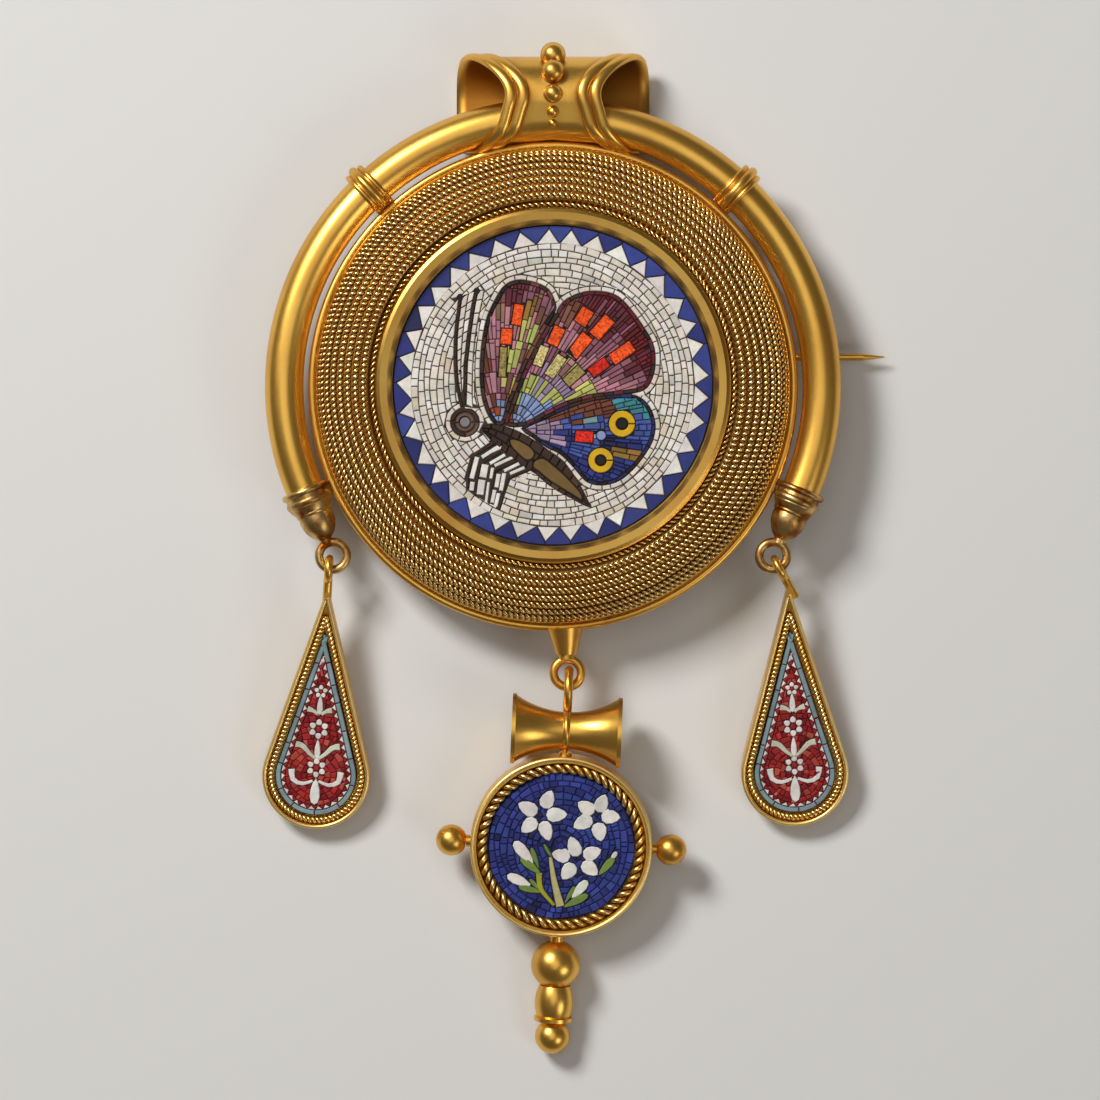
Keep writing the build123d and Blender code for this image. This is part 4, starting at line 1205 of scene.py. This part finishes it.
def make_bail():
    """Strap whose ends are cut to a curve, two edge wires at each end, and granules down its front.

    The strap has painted shade inside and beside its wires, and its front follows the tube's curve.
    """
    outer, normal = bail_section(BAIL_STEPS)
    reach = np.sqrt(BAIL_CUT_R**2 - outer[:, 1] ** 2)
    inner = outer - normal * STRAP
    pair = 2 * RIM_W + RIM_GAP
    insets = np.array([
        0, RIM_W - WIRE_EDGE, RIM_W + RIM_GAP / 2, RIM_W + RIM_GAP + WIRE_EDGE, pair - WIRE_EDGE, pair + WIRE_EDGE,
        pair + SHADE_FADE[0], pair + SHADE_FADE[1]])
    columns = np.concatenate([reach[:, None] - insets, 0 * reach[:, None], (insets - reach[:, None])[:, ::-1]], 1)
    level = 0 * columns
    shell = np.concatenate([
        np.stack([columns, outer[:, :1] + level, outer[:, 1:] + level], -1),
        np.stack([columns[:, ::-1], inner[:, :1] + level, inner[:, 1:] + level], -1)], 1)
    # Painted shade across the strap's outside, then along its inside
    inside = np.full(columns.shape[1], INNER_SHADE)
    inside[[0, -1]] = END_SHADE
    shade_and_patina = np.concatenate([STRAP_SHADE, [0], STRAP_SHADE[::-1], inside])
    parts = [(hugging(shell.reshape(-1, 3)), [grid_faces(BAIL_STEPS, shell.shape[1])], np.tile(shade_and_patina, BAIL_STEPS))]
    for side in (-1, 1):
        for wire in range(2):
            inset = RIM_W / 2 + wire * (RIM_W + RIM_GAP)
            line = hugging(np.column_stack([side * (reach - inset), outer + normal * (RIM_H - RIM_T)]))
            heading = unit(np.roll(line, -1, axis=0) - np.roll(line, 1, axis=0))
            out = np.column_stack([np.zeros(BAIL_STEPS), normal])
            out = unit(out - heading * (out * heading).sum(1, keepdims=True))
            points, faces = swept(line, heading, out, RIM_T, 14, True, RIM_W / 2 / RIM_T)
            parts.append((points, faces, np.zeros(len(points))))
    for middle, radius in granules():
        parts.append(ball((0, *middle), radius))
    finish_piece(put_mesh("ribbon_bail", *joined(parts)), "Bail gold", replaces=("bail",))


def hugging(points):
    """Points of the bail moved with the tube: towards the disc by how far the tube's circle has dropped at their x.

    The move fades out evenly from the tube's middle to the middle of the larger round behind.
    """
    front, back = tube_middle()[0], bail_middle()[0]
    share = np.clip((back - points[:, 1]) / (back - front), 0, 1)
    drop = front - np.sqrt(front**2 - points[:, 0] ** 2)
    return points - np.stack([0 * drop, share * drop, 0 * drop], 1)


def granules():
    """Middles and radii of the granules: round the bail's large end, then along its flat, each beside the next."""
    back, front = np.array(bail_middle()), np.array(tube_middle())
    dy, dz = back - front
    flat = np.arctan2(-dz, dy) + np.arcsin((NEAR_R - BAIL_R) / np.hypot(dy, dz))
    run = 0.0
    places = []
    for index, share in enumerate(GRANULE_SHARES):
        radius = share * BAIL_R
        if index:
            run += (radius + GRANULE_SHARES[index - 1] * BAIL_R) * GRANULE_SPREAD
        lift = BAIL_R + GRANULE_LIFT * radius
        turn = max(GRANULE_START - run / lift, flat)
        along = max(0.0, run - (GRANULE_START - flat) * lift)
        middle = back + lift * np.array([np.sin(turn), np.cos(turn)])
        places.append((middle + along * np.array([-np.cos(flat), np.sin(flat)]), radius))
    return places


def node_points(node):
    """A CAD node's points in millimetres."""
    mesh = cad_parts[node].data
    points = np.zeros(len(mesh.vertices) * 3, np.float32)
    mesh.vertices.foreach_get("co", points)
    return points.reshape(-1, 3).astype(float) / MM


def mid_range(values):
    """Half-way between the lowest and the highest value."""
    return (values.max() + values.min()) / 2


class Plate:
    """Flat top of a mosaic's CAD plate: its middle, its axes and the outline that its rim has on them."""

    def __init__(self, node, upward=None):
        """Reads the plate. Its second axis points upward, or else to the farthest point of its rim."""
        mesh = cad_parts[node].data
        points = node_points(node)
        corners = np.zeros(len(mesh.loops), np.int32)
        mesh.loops.foreach_get("vertex_index", corners)
        corners = corners.reshape(-1, 3)
        spans = np.cross(points[corners[:, 1]] - points[corners[:, 0]], points[corners[:, 2]] - points[corners[:, 0]])
        top = unit(spans)[:, 2] > 0.9
        self.up = unit(spans[top].sum(0))
        rim = points[np.unique(corners[top])]
        weight = np.linalg.norm(spans[top], axis=1)
        self.middle = (points[corners[top]].mean(1) * weight[:, None]).sum(0) / weight.sum()
        far = rim[np.linalg.norm(rim - self.middle, axis=1).argmax()] if upward is None else upward
        ahead = far - self.middle
        self.ahead = unit(ahead - self.up * (ahead @ self.up))
        self.right = np.cross(self.ahead, self.up)
        self.rim, _ = self.measured(rim)
        self.depth = ((self.middle - points) @ self.up).max()

    def place(self, flat, height):
        """Points of the plate's flat, with a height over it, in the frame."""
        return self.middle + flat[..., :1] * self.right + flat[..., 1:] * self.ahead + height[..., None] * self.up

    def heading(self, flat):
        """Directions on the plate's flat, in the frame."""
        return flat[:, :1] * self.right + flat[:, 1:] * self.ahead

    def measured(self, points):
        """Points of the frame on the plate's axes, and their heights over it."""
        reach = points - self.middle
        return np.stack([reach @ self.right, reach @ self.ahead], 1), reach @ self.up


def level_plate(node):
    """Plate whose second axis points to the top of the picture, for a mosaic that lies level."""
    low, high = node_box(node)
    return Plate(node, upward=(low + high) / 2 + (0, 1, 0))


def build_mosaic(label, node, plate, outline, ground, bed_colour):
    """One mesh of all tesserae of a mosaic and the cement that they stand in, with their colours and kinds.

    A tessera is a prism: a foot in the cement, a shoulder, and a face inside it that lies a little low and tilted.
    """
    sizes = bpy.context.scene.brooch_mosaic
    joint, edge, bed, uneven = (to_mm(size) for size in (sizes.joint, sizes.edge, sizes.bed, sizes.uneven))
    rng = ground.rng
    points, faces, tints, kinds = [], [], [], []
    start = 0
    slab = (outline[None], linear(PAINT[bed_colour])[None], BED, bed, 0.0)
    for pieces, tint, kind, sink, share in [slab, *ground.groups]:
        loose = kind != BED
        body = shrink(pieces, joint * share / 2) if loose else pieces
        bevel = np.minimum(edge, BEVEL_SHARE * thickness_of(body))[:, None, None]
        face = shrink(body, bevel)
        good = area_of(face) > LEAST_FACE
        body, face, tint, bevel = body[good], face[good], tint[good], bevel[good]
        count, sides = body.shape[:2]
        middle = body.mean(1, keepdims=True)
        slope = rng.normal(0, np.tan(sizes.tilt), (count, 1, 2)) * loose
        level = -uneven * rng.uniform(0, 1, (count, 1)) * loose - sink
        lift = np.minimum(level + ((face - middle) * slope).sum(2), -sink)
        shoulder = np.minimum(level + ((body - middle) * slope).sum(2), -sink) - bevel[..., 0]
        foot = np.full(body.shape[:2], -plate.depth if sink == bed else -bed - FOOT_DEPTH)
        rings = np.stack([plate.place(body, foot), plate.place(body, shoulder), plate.place(face, lift)], 1)
        points.append(rings.reshape(-1, 3))
        base = start + np.arange(count)[:, None] * 3 * sides
        spin = np.arange(sides)
        ahead = (spin + 1) % sides
        for low in (0, sides):
            wall = np.stack([spin + low, ahead + low, ahead + low + sides, spin + low + sides], 1)
            faces.append((base[:, None] + wall).reshape(-1, 4))
        faces.append(base + 2 * sides + spin)
        faces.append(base + spin[::-1])
        tints.append(np.repeat(tint, 3 * sides, axis=0))
        kinds.append(np.full(count * 3 * sides, kind))
        start += count * 3 * sides
    attributes = {"Tint": np.concatenate(tints), "Kind": np.concatenate(kinds)}
    piece = put_mesh(label, np.concatenate(points), faces, attributes, smooth=False)
    finish_piece(piece, "Tesserae", replaces=(node,))


def lay_wing(ground, wing, outline):
    """A wing: its dark edge, rods from its root in the colours of the nearest spots, and bright blocks among them."""
    rng = ground.rng
    _, root, width, length, band, spots, edge_names = WINGS[wing]
    root = chart(root)
    ground.lay(outline[None], "dark_grout", BED, sink=DARK_BED)
    edge = strip(outline, -band, 0, 0.9, rng, closed=True)
    ground.lay(edge, mixed(rng, len(edge), edge_names, [4, 4, 2, 1]), vary=0.15, joint=0.6)
    cells = fan(outline, root, width, length, band, rng)
    if wing == "hind":
        for x, y, radius, *_ in (*WING_EYES, PALE_SPOT):
            cells = trim(cells, circle(chart((x, y)), radius * CHART_MM, 24))
    bright = [(block(chart((x, y)), np.array((long, wide)) * CHART_MM, root), name)
              for owner, x, y, wide, long, name in WING_BLOCKS if owner == wing]
    for shape, _ in bright:
        cells = cut_round(cells, shape)
    ground.lay(cells, nearest_names(cells, spots, rng), vary=0.15, least=0.012, joint=0.6)
    for shape, name in bright:
        ground.lay(shape[None], name, SPARKLE)


def lay_wings(ground, wings):
    """The three wings, and the hind wing's eyes and pale spot."""
    for wing, outline in wings.items():
        lay_wing(ground, wing, outline)
    for x, y, outer, inner in WING_EYES:
        middle, hole = chart((x, y)), inner * CHART_MM
        ring = strip(circle(middle, hole, 40), 0, (outer - inner) * CHART_MM, 3, ground.rng, True, 22)
        ground.lay(ring, "yellow", vary=0.03)
        ground.lay(circle(middle, hole, 14)[None], "coal", GLASS)
    ground.lay(circle(chart(PALE_SPOT[:2]), PALE_SPOT[2] * CHART_MM, 12)[None], "light_blue")


def lay_white(ground, wings, body, feeler, wing_side):
    """White ground in rings, cut round the figure, with a row that follows the wings and the head."""
    sizes = bpy.context.scene.brooch_mosaic
    rng = ground.rng
    narrow, big, hind = wings.values()
    head = circle(chart(HEAD), HEAD_RINGS[-1] * CHART_MM, 40)
    feeler_room = np.concatenate([walk_beside(feeler, 0.11), walk_beside(wing_side, 0)[::-1]])
    leg_room = chart(LEG_ROOM)
    rings = FIELD_R - to_mm(sizes.row) * np.arange(WHITE_RINGS)[::-1]
    white = ring_cells(rings[rings > 0], to_mm(sizes.piece), rng, sway=0.06, uneven=0.35)
    for outline, margin in ((narrow, FOLLOW), (big, FOLLOW), (hind, FOLLOW), (body, 0.0), (head, FOLLOW),
                            (feeler_room, 0.0), (leg_room, 0.0)):
        white = trim(white, outline, margin)
    rows = [white]
    for outline, others in ((narrow, (big, body, head, feeler_room)), (big, (narrow, hind, body)),
                            (hind, (big, body, leg_room)), (head, (body, feeler_room, narrow))):
        rows.append(clear_of(strip(outline, 0.0, FOLLOW, 0.75, rng, closed=True, bend=3), others))
    for pieces in rows:
        tints = mixed(rng, len(pieces), ["white", "petal", "sand", "ash"], [9, 5, 1, 0.7])
        ground.lay(pieces, tints, vary=0.04, least=0.04, joint=0.85)


def lay_line(ground, path, length):
    """A feeler or a leg in dark pieces that stand out a little."""
    ground.lay(strip(path, -LINE_HALF, LINE_HALF, length, ground.rng), "umber", least=0.01, sink=-0.03)


def lay_lines(ground, feelers, wing_side):
    """Feelers with white columns between and beside them, and legs with the rods between them."""
    rng = ground.rng
    for feeler in feelers:
        lay_line(ground, feeler, 0.9)
    for points in FEELERS:
        ground.lay(circle(chart(points[0]), 0.33, 9)[None], "coal", GLASS, sink=-0.05)
    for point in FEELER_BITS:
        ground.lay(circle(chart(point), 0.17, 4, 0.8)[None], "coal", GLASS, sink=-0.05)
    left, right = feelers
    columns = np.concatenate([
        ladder(walk_beside(left, -LINE_HALF), walk_beside(right, LINE_HALF), 2, 0.9, rng),
        ladder(walk_beside(right, -LINE_HALF), wing_side, 1, 0.8, rng)])
    ground.lay(columns, mixed(rng, len(columns), ["white", "petal"], [2, 1]), vary=0.04, least=0.03)
    for leg in LEGS:
        lay_line(ground, smooth_path(chart(leg)), 1.1)
    ground.lay(rods(LEG_RODS), "petal", vary=0.04)


def lay_body(ground, body):
    """Body in dark plates round two tawny patches, and the head in two rings round a light spot."""
    rng = ground.rng
    ground.lay(body[None], "dark_grout", BED, sink=DARK_BED)
    patches = [smooth_loop(chart(patch), 4) for patch in BODY_PATCHES]
    plates = clear_of(ladder(smooth_path(chart(BODY_TOP)), smooth_path(chart(BODY_FOOT)), 3, 0.8, rng), patches)
    ground.lay(plates, mixed(rng, len(plates), ["umber", "coal", "dusk"], [5, 1, 2]), GLASS, joint=0.6)
    for patch in patches:
        ground.lay(patch[None], "tawny", GLASS)
    inner, middle, outer = np.array(HEAD_RINGS) * CHART_MM
    for near, far in ((inner, middle), (middle, outer)):
        ring = strip(circle(chart(HEAD), near, 40), 0, far - near, 1.3, rng, True, 7)
        ground.lay(ring, mixed(rng, len(ring), ["umber", "brown", "head"], [2, 1, 4]), GLASS)
    ground.lay(circle(chart(HEAD), inner, 12)[None], "head_light")


def butterfly_ground():
    """The main mosaic: teeth and blue round a white ground, and on it a butterfly's lines, wings, body and head."""
    ground = Ground(bpy.context.scene.brooch_mosaic.seed)
    wings = {wing: smooth_loop(chart(points)) for wing, (points, *_) in WINGS.items()}
    body = smooth_loop(chart(BODY))
    feelers = [smooth_path(chart(points)) for points in FEELERS]
    wing_side = smooth_path(chart(WING_SIDE))
    teeth, gaps = zigzag(circle((0, 0), FIELD_R, 360), TEETH, 0, TOOTH_DEPTH, MOSAIC_R - FIELD_R, ground.rng)
    ground.lay(teeth, "petal")
    ground.lay(gaps, mixed(ground.rng, len(gaps), ["cobalt", "royal", "deep_blue"], [6, 3, 1]), vary=0.1)
    lay_white(ground, wings, body, feelers[0], wing_side)
    lay_lines(ground, feelers, wing_side)
    lay_wings(ground, wings)
    lay_body(ground, body)
    return ground


def posy_ground():
    """The round drop's mosaic: three flowers with buds and stems on cobalt."""
    ground = Ground(bpy.context.scene.brooch_mosaic.seed + 1)
    rng = ground.rng
    laid = []
    for centre, tips in POSIES:
        middle, petal_middles = posy(centre), posy(tips)
        ahead = petal_middles - middle
        angles = np.arctan2(ahead[:, 1], ahead[:, 0])
        shapes = petals(petal_middles, angles, rng.uniform(1.4, 1.6, 5), rng.uniform(1.1, 1.3, 5), point=0.16)
        laid.append((shapes, "petal", 0.05))
        laid.append((circle(middle, 0.16, 6)[None], "umber", 0.1))
    starts, ends, widths, names = zip(*POSY_SPRIGS)
    starts, ends, widths = posy(starts), posy(ends), np.array(widths) * POSY_MM
    ahead = ends - starts
    shapes = petals((starts + ends) / 2, np.arctan2(ahead[:, 1], ahead[:, 0]),
                    np.linalg.norm(ahead, axis=1) + widths * 0.3, widths)
    laid.append((shapes, names, 0.08))
    for points, first, last, name in POSY_STEMS:
        laid.append((stroke(posy(points), first * POSY_MM, last * POSY_MM), name, 0.05))
    field = ring_cells(np.linspace(0.3, FLOWER_R - 0.03, 12), 0.66, rng, sway=0.07, uneven=0.5)
    for shapes, _, _ in laid:
        field = clear_of(field, shapes)
    ground.lay(field, mixed(rng, len(field), ["cobalt", "royal", "deep_blue"], [5, 5, 0.4]), vary=0.14, joint=0.75)
    ground.lay(circle((0, 0), 0.3, 8)[None], "cobalt")
    for shapes, names, vary in laid:
        ground.lay(shapes, names, vary=vary)
    return ground


def tear_sizes(plate):
    """A teardrop's round end and tip: radius, middle of the round end on the plate, and the tip's distance."""
    radius = np.abs(plate.rim[:, 0]).max()
    low = plate.rim[:, 1].min() + radius
    return radius, np.array([0.0, low]), plate.rim[:, 1].max() - low


def tear_outline(radius, tip, offset=0.0, samples=72):
    """A teardrop: the arc of its round end from one straight side to the other, then its tip."""
    half = np.arcsin(radius / tip)
    arc = polar(radius + offset, np.linspace(np.pi - half, TAU + half, samples))
    return np.concatenate([arc, [(0, (radius + offset) / np.sin(half))]])


def tear_path(radius, tip, offset):
    """Path round a teardrop at an offset, from its tip and back to it."""
    loop = tear_outline(radius, tip, offset)
    return np.concatenate([loop[-1:], loop])


def tear_ground(plate, seed):
    """A teardrop's mosaic with its outline: blue-grey edge, white teeth, and flowers one above another on red."""
    ground = Ground(seed)
    rng = ground.rng
    radius, low, tip = tear_sizes(plate)
    outline = tear_outline(radius, tip)
    edge = strip(outline, -TEAR_BAND, -0.02, 1.9, rng, closed=True, bend=7)
    ground.lay(edge, "sky", vary=0.08)
    line = tear_outline(radius, tip, -TEAR_BAND)
    depth = TEAR_BAND - TEAR_INNER
    teeth, gaps = zigzag(line, round(length_of(line, True) / TEAR_TOOTH), 0, depth, depth, rng)
    ground.lay(teeth, "petal", least=0.02)
    ground.lay(gaps, mixed(rng, len(gaps), ["ruby", "garnet"], [3, 1]), least=0.02)
    laid = []
    for y, distance, length, width, count, core in TEAR_FLOWERS:
        shapes = blossom((0, y), 90 + np.arange(count) * 360 / count, distance, length, width, 0.05)
        laid.append((shapes, "petal"))
        laid.append((circle((0, y), core, 8)[None], "ruby"))
    for y, length, width in TEAR_BUDS:
        laid.append((petals((0, y), np.pi / 2, length, width, point=0.3), "petal"))
    for side in (-1, 1):
        for points, first, last, name in TEAR_LEAVES:
            laid.append((stroke(np.array(points) * (side, 1), first, last), name))
    field = ring_cells(np.arange(0.25, tip, 0.44), 0.52, rng, sway=0.06, uneven=0.5)
    field = trim(field, tear_outline(radius, tip, -TEAR_INNER), inside=True)
    for shapes, _ in laid:
        field = clear_of(field, shapes)
    names = mixed(rng, len(field), ["ruby", "brick", "garnet", "coral"], [6, 2, 3, 1])
    ground.lay(field, names, vary=0.14, least=0.01, joint=0.45)
    for shapes, names in laid:
        ground.lay(shapes, names, vary=0.06, least=0.01, joint=0.5)
    ground.groups = [(pieces + low, *rest) for pieces, *rest in ground.groups]
    return ground, outline + low


def make_drop_ropes():
    """Rope round the round drop's mosaic, and one round each teardrop's that is open at its tip."""
    ropes = bpy.context.scene.brooch_ropes
    plate = level_plate("flower_mosaic")
    flat, height = plate.measured(node_points("round_rope"))
    height = mid_range(height)
    radius = mid_range(np.linalg.norm(flat, axis=1))
    turns = round(TAU * radius / to_mm(ropes.round_lay))
    loop = circle((0, 0), radius, turns * 2 * ropes.steps)
    line = plate.place(loop, np.full(len(loop), height))
    side = unit(line - plate.place(np.zeros((1, 2)), np.full(1, height)))
    up = np.zeros_like(side) - plate.up
    rope = put_mesh("round_drop_rope", *twisted(line, side, up, ROUND_ROPE_R, TAU * radius / turns, ropes, True))
    finish_piece(rope, "Drop rope gold", replaces=("round_rope",))
    lay = to_mm(ropes.tear_lay)
    for name in ("left", "right"):
        plate = Plate(name + "_tear_mosaic")
        tear_r, low, tip = tear_sizes(plate)
        flat, height = plate.measured(node_points(name + "_tear_rope"))
        path = tear_path(tear_r, tip, TEAR_ROPE_OUT) + low
        cut = (path[0, 1] - flat[:, 1].max()) / np.cos(np.arcsin(tear_r / tip))
        total = length_of(path) - 2 * cut
        places = np.linspace(cut, cut + total, round(total / lay * ropes.steps))
        flat, _, right = walk(path, places, reach=0.12)
        line = plate.place(flat, np.full(len(flat), mid_range(height)))
        up = np.zeros_like(line) - plate.up
        rope = put_mesh(name + "_drop_rope",
                        *twisted(line, plate.heading(right), up, TEAR_ROPE_R, lay, ropes, False))
        finish_piece(rope, "Drop rope gold", replaces=(name + "_tear_rope",))


def make_drop_edges():
    """Plain wire round the outer edge of each drop's frame, open at a teardrop's tip."""
    plate = level_plate("flower_mosaic")
    flat, height = plate.measured(node_points("round_frame"))
    top = height[np.abs(np.linalg.norm(flat, axis=1) - FRAME_R) < 0.02].max()
    drops = [("round_edge_wire", plate, circle((0, 0), FRAME_R - EDGE_WIRE_R, RING_STEPS), top, True)]
    for side in ("left", "right"):
        plate = Plate(side + "_tear_mosaic")
        tear_r, low, tip = tear_sizes(plate)
        flat, height = plate.measured(node_points(side + "_tear_frame"))
        path = tear_path(tear_r, tip, TEAR_R - tear_r - EDGE_WIRE_R) + low
        drops.append((side + "_edge_wire", plate, path, height[flat[:, 1] < low[1]].max(), False))
    for name, plate, path, top, closed in drops:
        total = length_of(path, closed)
        ends = (0, total) if closed else (EDGE_END, total - EDGE_END)
        flat, ahead, _ = walk(path, np.linspace(*ends, RING_STEPS, endpoint=not closed), closed, reach=0.05)
        line = plate.place(flat, np.full(len(flat), top - EDGE_SINK))
        points, faces = swept(line, plate.heading(ahead), np.zeros_like(line) + plate.up, EDGE_WIRE_R, 12, closed)
        finish_piece(put_mesh(name, points, faces), "Rubbed gold")


def make_materials():
    """The brooch's golds and the tesserae's glass."""
    metal = bpy.context.scene.brooch_metal
    gold_surface()
    glass_surface()
    gold_material("Satin gold", metal.gold, metal.deep, 0.31, 0.35, bump=0.02)
    gold_material("Rubbed gold", metal.pale, metal.gold, 0.38, 0.4, bump=0.02)
    gold_material("Rope gold", metal.pale, metal.deep, 0.2, 0.3, shade_and_patina=True)
    gold_material("Bail gold", metal.gold, metal.deep, 0.31, 0.3, shade_and_patina=True, bump=0.02)
    gold_material("Bezel gold", metal.dull, metal.deep, 0.31, 0.4, bump=0.03)
    gold_material("Drop rope gold", metal.pale, metal.gold, 0.2, 1.4, shade_and_patina=True)
    # The caps' worn patches take the same dark colour as the painted shade, here as their patina
    gold_material("Aged gold", metal.aged, metal.shade_and_patina, 0.3, 1.3, bump=0.3, patches=FINE_PATCHES)
    gold_material("Pin gold", metal.gold, metal.deep, 0.31, 0.25)
    new_material("Tesserae", bpy.data.node_groups["Tessera surface"], {},
                 {"Tint": ("Tint", "Color"), "Kind": ("Kind", "Fac")}, 0.25, 0.0, {"Specular IOR Level": 0.3})


def dress_nodes():
    """CAD nodes that stay: each gets its gold."""
    golds = {
        "Satin gold": ("case", "crescent_tube", "spool", "round_frame", "left_tear_frame", "right_tear_frame"),
        "Bezel gold": ("bezel",),
        "Aged gold": ("left_cap", "right_cap"),
        "Pin gold": ("pin_stem", "hinge_rivet"),
    }
    for material, nodes in golds.items():
        for node in nodes:
            cover(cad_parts[node], material)


def aim(thing, target):
    """Turns a camera or light so that it looks at a point."""
    direction = Vector(target) - thing.location
    thing.rotation_euler = direction.to_track_quat("-Z", "Y").to_euler()


def make_stage():
    """Camera over the brooch, soft lights and a pale floor."""
    stage = bpy.context.scene.brooch_stage
    scene = bpy.context.scene
    eye = bpy.data.cameras.new("camera")
    eye.lens = stage.lens
    eye.sensor_width = 36
    height = stage.view_width * stage.lens / eye.sensor_width
    camera = bpy.data.objects.new("camera", eye)
    camera.location = (*VIEW_MIDDLE, VIEW_LEVEL + height)
    scene.collection.objects.link(camera)
    scene.camera = camera
    for name, (place, size) in LAMPS.items():
        lamp = bpy.data.lights.new(name, "AREA")
        lamp.size = size
        lamp.energy = getattr(stage, name)
        light = bpy.data.objects.new(name, lamp)
        light.location = place
        aim(light, (*VIEW_MIDDLE, 0))
        scene.collection.objects.link(light)
    corners = np.array([(-1, -1, 0), (1, -1, 0), (1, 1, 0), (-1, 1, 0)]) * FLOOR_REACH
    floor = put_mesh("floor", corners, [np.array([[0, 1, 2, 3]])])
    material = bpy.data.materials.new("Floor")
    material.use_nodes = True
    nodes = material.node_tree.nodes
    shader = nodes["Principled BSDF"]
    shader.inputs["Base Color"].default_value = (*bpy.context.scene.brooch_metal.floor, 1)
    shader.inputs["Roughness"].default_value = 0.75
    front = calc(nodes, "SUBTRACT", 1.0, nodes.new("ShaderNodeNewGeometry").outputs["Backfacing"])
    material.node_tree.links.new(front, shader.inputs["Alpha"])
    floor.data.materials.append(material)
    world = bpy.data.worlds.new("room")
    world.use_nodes = True
    world.node_tree.nodes["Background"].inputs["Color"].default_value = (*ROOM_LIGHT, 1)
    world.node_tree.nodes["Background"].inputs["Strength"].default_value = stage.room
    scene.world = world
    scene.view_settings.view_transform = "Standard"


class BROOCH_OT_golds(bpy.types.Operator):
    """Makes the golds and the glass of the tesserae"""

    bl_idname = "brooch.golds"
    bl_label = "Golds and glass"

    def execute(self, context):
        make_materials()
        return {"FINISHED"}


class BROOCH_OT_frames(bpy.types.Operator):
    """Gives the frames, the tube, the caps, the spool and the pin their gold"""

    bl_idname = "brooch.frames"
    bl_label = "Frames, tube and pin"

    def execute(self, context):
        dress_nodes()
        return {"FINISHED"}


class BROOCH_OT_border(bpy.types.Operator):
    """Makes the domed border of twisted wires"""

    bl_idname = "brooch.border"
    bl_label = "Rope border"

    def execute(self, context):
        make_border()
        return {"FINISHED"}


class BROOCH_OT_bail(bpy.types.Operator):
    """Makes the ribbon bail with its edge wires and granules"""

    bl_idname = "brooch.bail"
    bl_label = "Ribbon bail"

    def execute(self, context):
        make_bail()
        return {"FINISHED"}


class BROOCH_OT_drop_ropes(bpy.types.Operator):
    """Makes the ropes round the mosaics of the three drops, and the wires on their frames' edges"""

    bl_idname = "brooch.drop_ropes"
    bl_label = "Ropes of the drops"

    def execute(self, context):
        make_drop_ropes()
        make_drop_edges()
        return {"FINISHED"}


class BROOCH_OT_butterfly(bpy.types.Operator):
    """Lays the main mosaic, a butterfly on white"""

    bl_idname = "brooch.butterfly"
    bl_label = "Butterfly mosaic"

    def execute(self, context):
        plate = level_plate("butterfly_mosaic")
        build_mosaic("butterfly_tesserae", "butterfly_mosaic", plate, circle((0, 0), MOSAIC_R, 180),
                     butterfly_ground(), "grout")
        return {"FINISHED"}


class BROOCH_OT_flowers(bpy.types.Operator):
    """Lays the round drop's mosaic, three flowers on blue"""

    bl_idname = "brooch.flowers"
    bl_label = "Flower mosaic"

    def execute(self, context):
        plate = level_plate("flower_mosaic")
        build_mosaic("flower_tesserae", "flower_mosaic", plate, circle((0, 0), FLOWER_R, 120),
                     posy_ground(), "deep_blue")
        return {"FINISHED"}


class BROOCH_OT_teardrops(bpy.types.Operator):
    """Lays the two teardrops' mosaics, flowers one above another on red"""

    bl_idname = "brooch.teardrops"
    bl_label = "Teardrop mosaics"

    def execute(self, context):
        for index, side in enumerate(("left", "right")):
            node = side + "_tear_mosaic"
            plate = Plate(node)
            ground, outline = tear_ground(plate, context.scene.brooch_mosaic.seed + 2 + index)
            build_mosaic(side + "_tear_tesserae", node, plate, outline, ground, "wine")
        return {"FINISHED"}


class BROOCH_OT_stage(bpy.types.Operator):
    """Sets up the camera, the lights and the floor"""

    bl_idname = "brooch.stage"
    bl_label = "Camera, lights and floor"

    def execute(self, context):
        make_stage()
        return {"FINISHED"}


STEPS = (BROOCH_OT_golds, BROOCH_OT_frames, BROOCH_OT_border, BROOCH_OT_bail, BROOCH_OT_drop_ropes,
         BROOCH_OT_butterfly, BROOCH_OT_flowers, BROOCH_OT_teardrops, BROOCH_OT_stage)


class BROOCH_PT_pieces(bpy.types.Panel):
    """Sizes, colours and steps of the brooch"""

    bl_idname = "BROOCH_PT_pieces"
    bl_label = "Micromosaic brooch"
    bl_space_type = "VIEW_3D"
    bl_region_type = "UI"
    bl_category = "Brooch"

    def draw(self, context):
        for name, kind in SETTINGS.items():
            box = self.layout.box()
            for label in kind.__annotations__:
                box.prop(getattr(context.scene, name), label)
        for step in STEPS:
            self.layout.operator(step.bl_idname)


SETTINGS = {"brooch_ropes": RopeSizes, "brooch_mosaic": MosaicSizes, "brooch_metal": MetalColours,
            "brooch_stage": StageSizes}


def register():
    """Registers the sizes and colours, the steps and the panel."""
    for kind in (*SETTINGS.values(), *STEPS, BROOCH_PT_pieces):
        bpy.utils.register_class(kind)
    for name, kind in SETTINGS.items():
        setattr(bpy.types.Scene, name, PointerProperty(type=kind))


def unregister():
    """Takes them out again."""
    for name in SETTINGS:
        delattr(bpy.types.Scene, name)
    for kind in reversed((*SETTINGS.values(), *STEPS, BROOCH_PT_pieces)):
        bpy.utils.unregister_class(kind)


def main():
    """Registers the add-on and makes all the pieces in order."""
    register()
    for step in STEPS:
        getattr(bpy.ops.brooch, step.bl_idname.split(".")[1])()


if __name__ == "__main__":
    main()
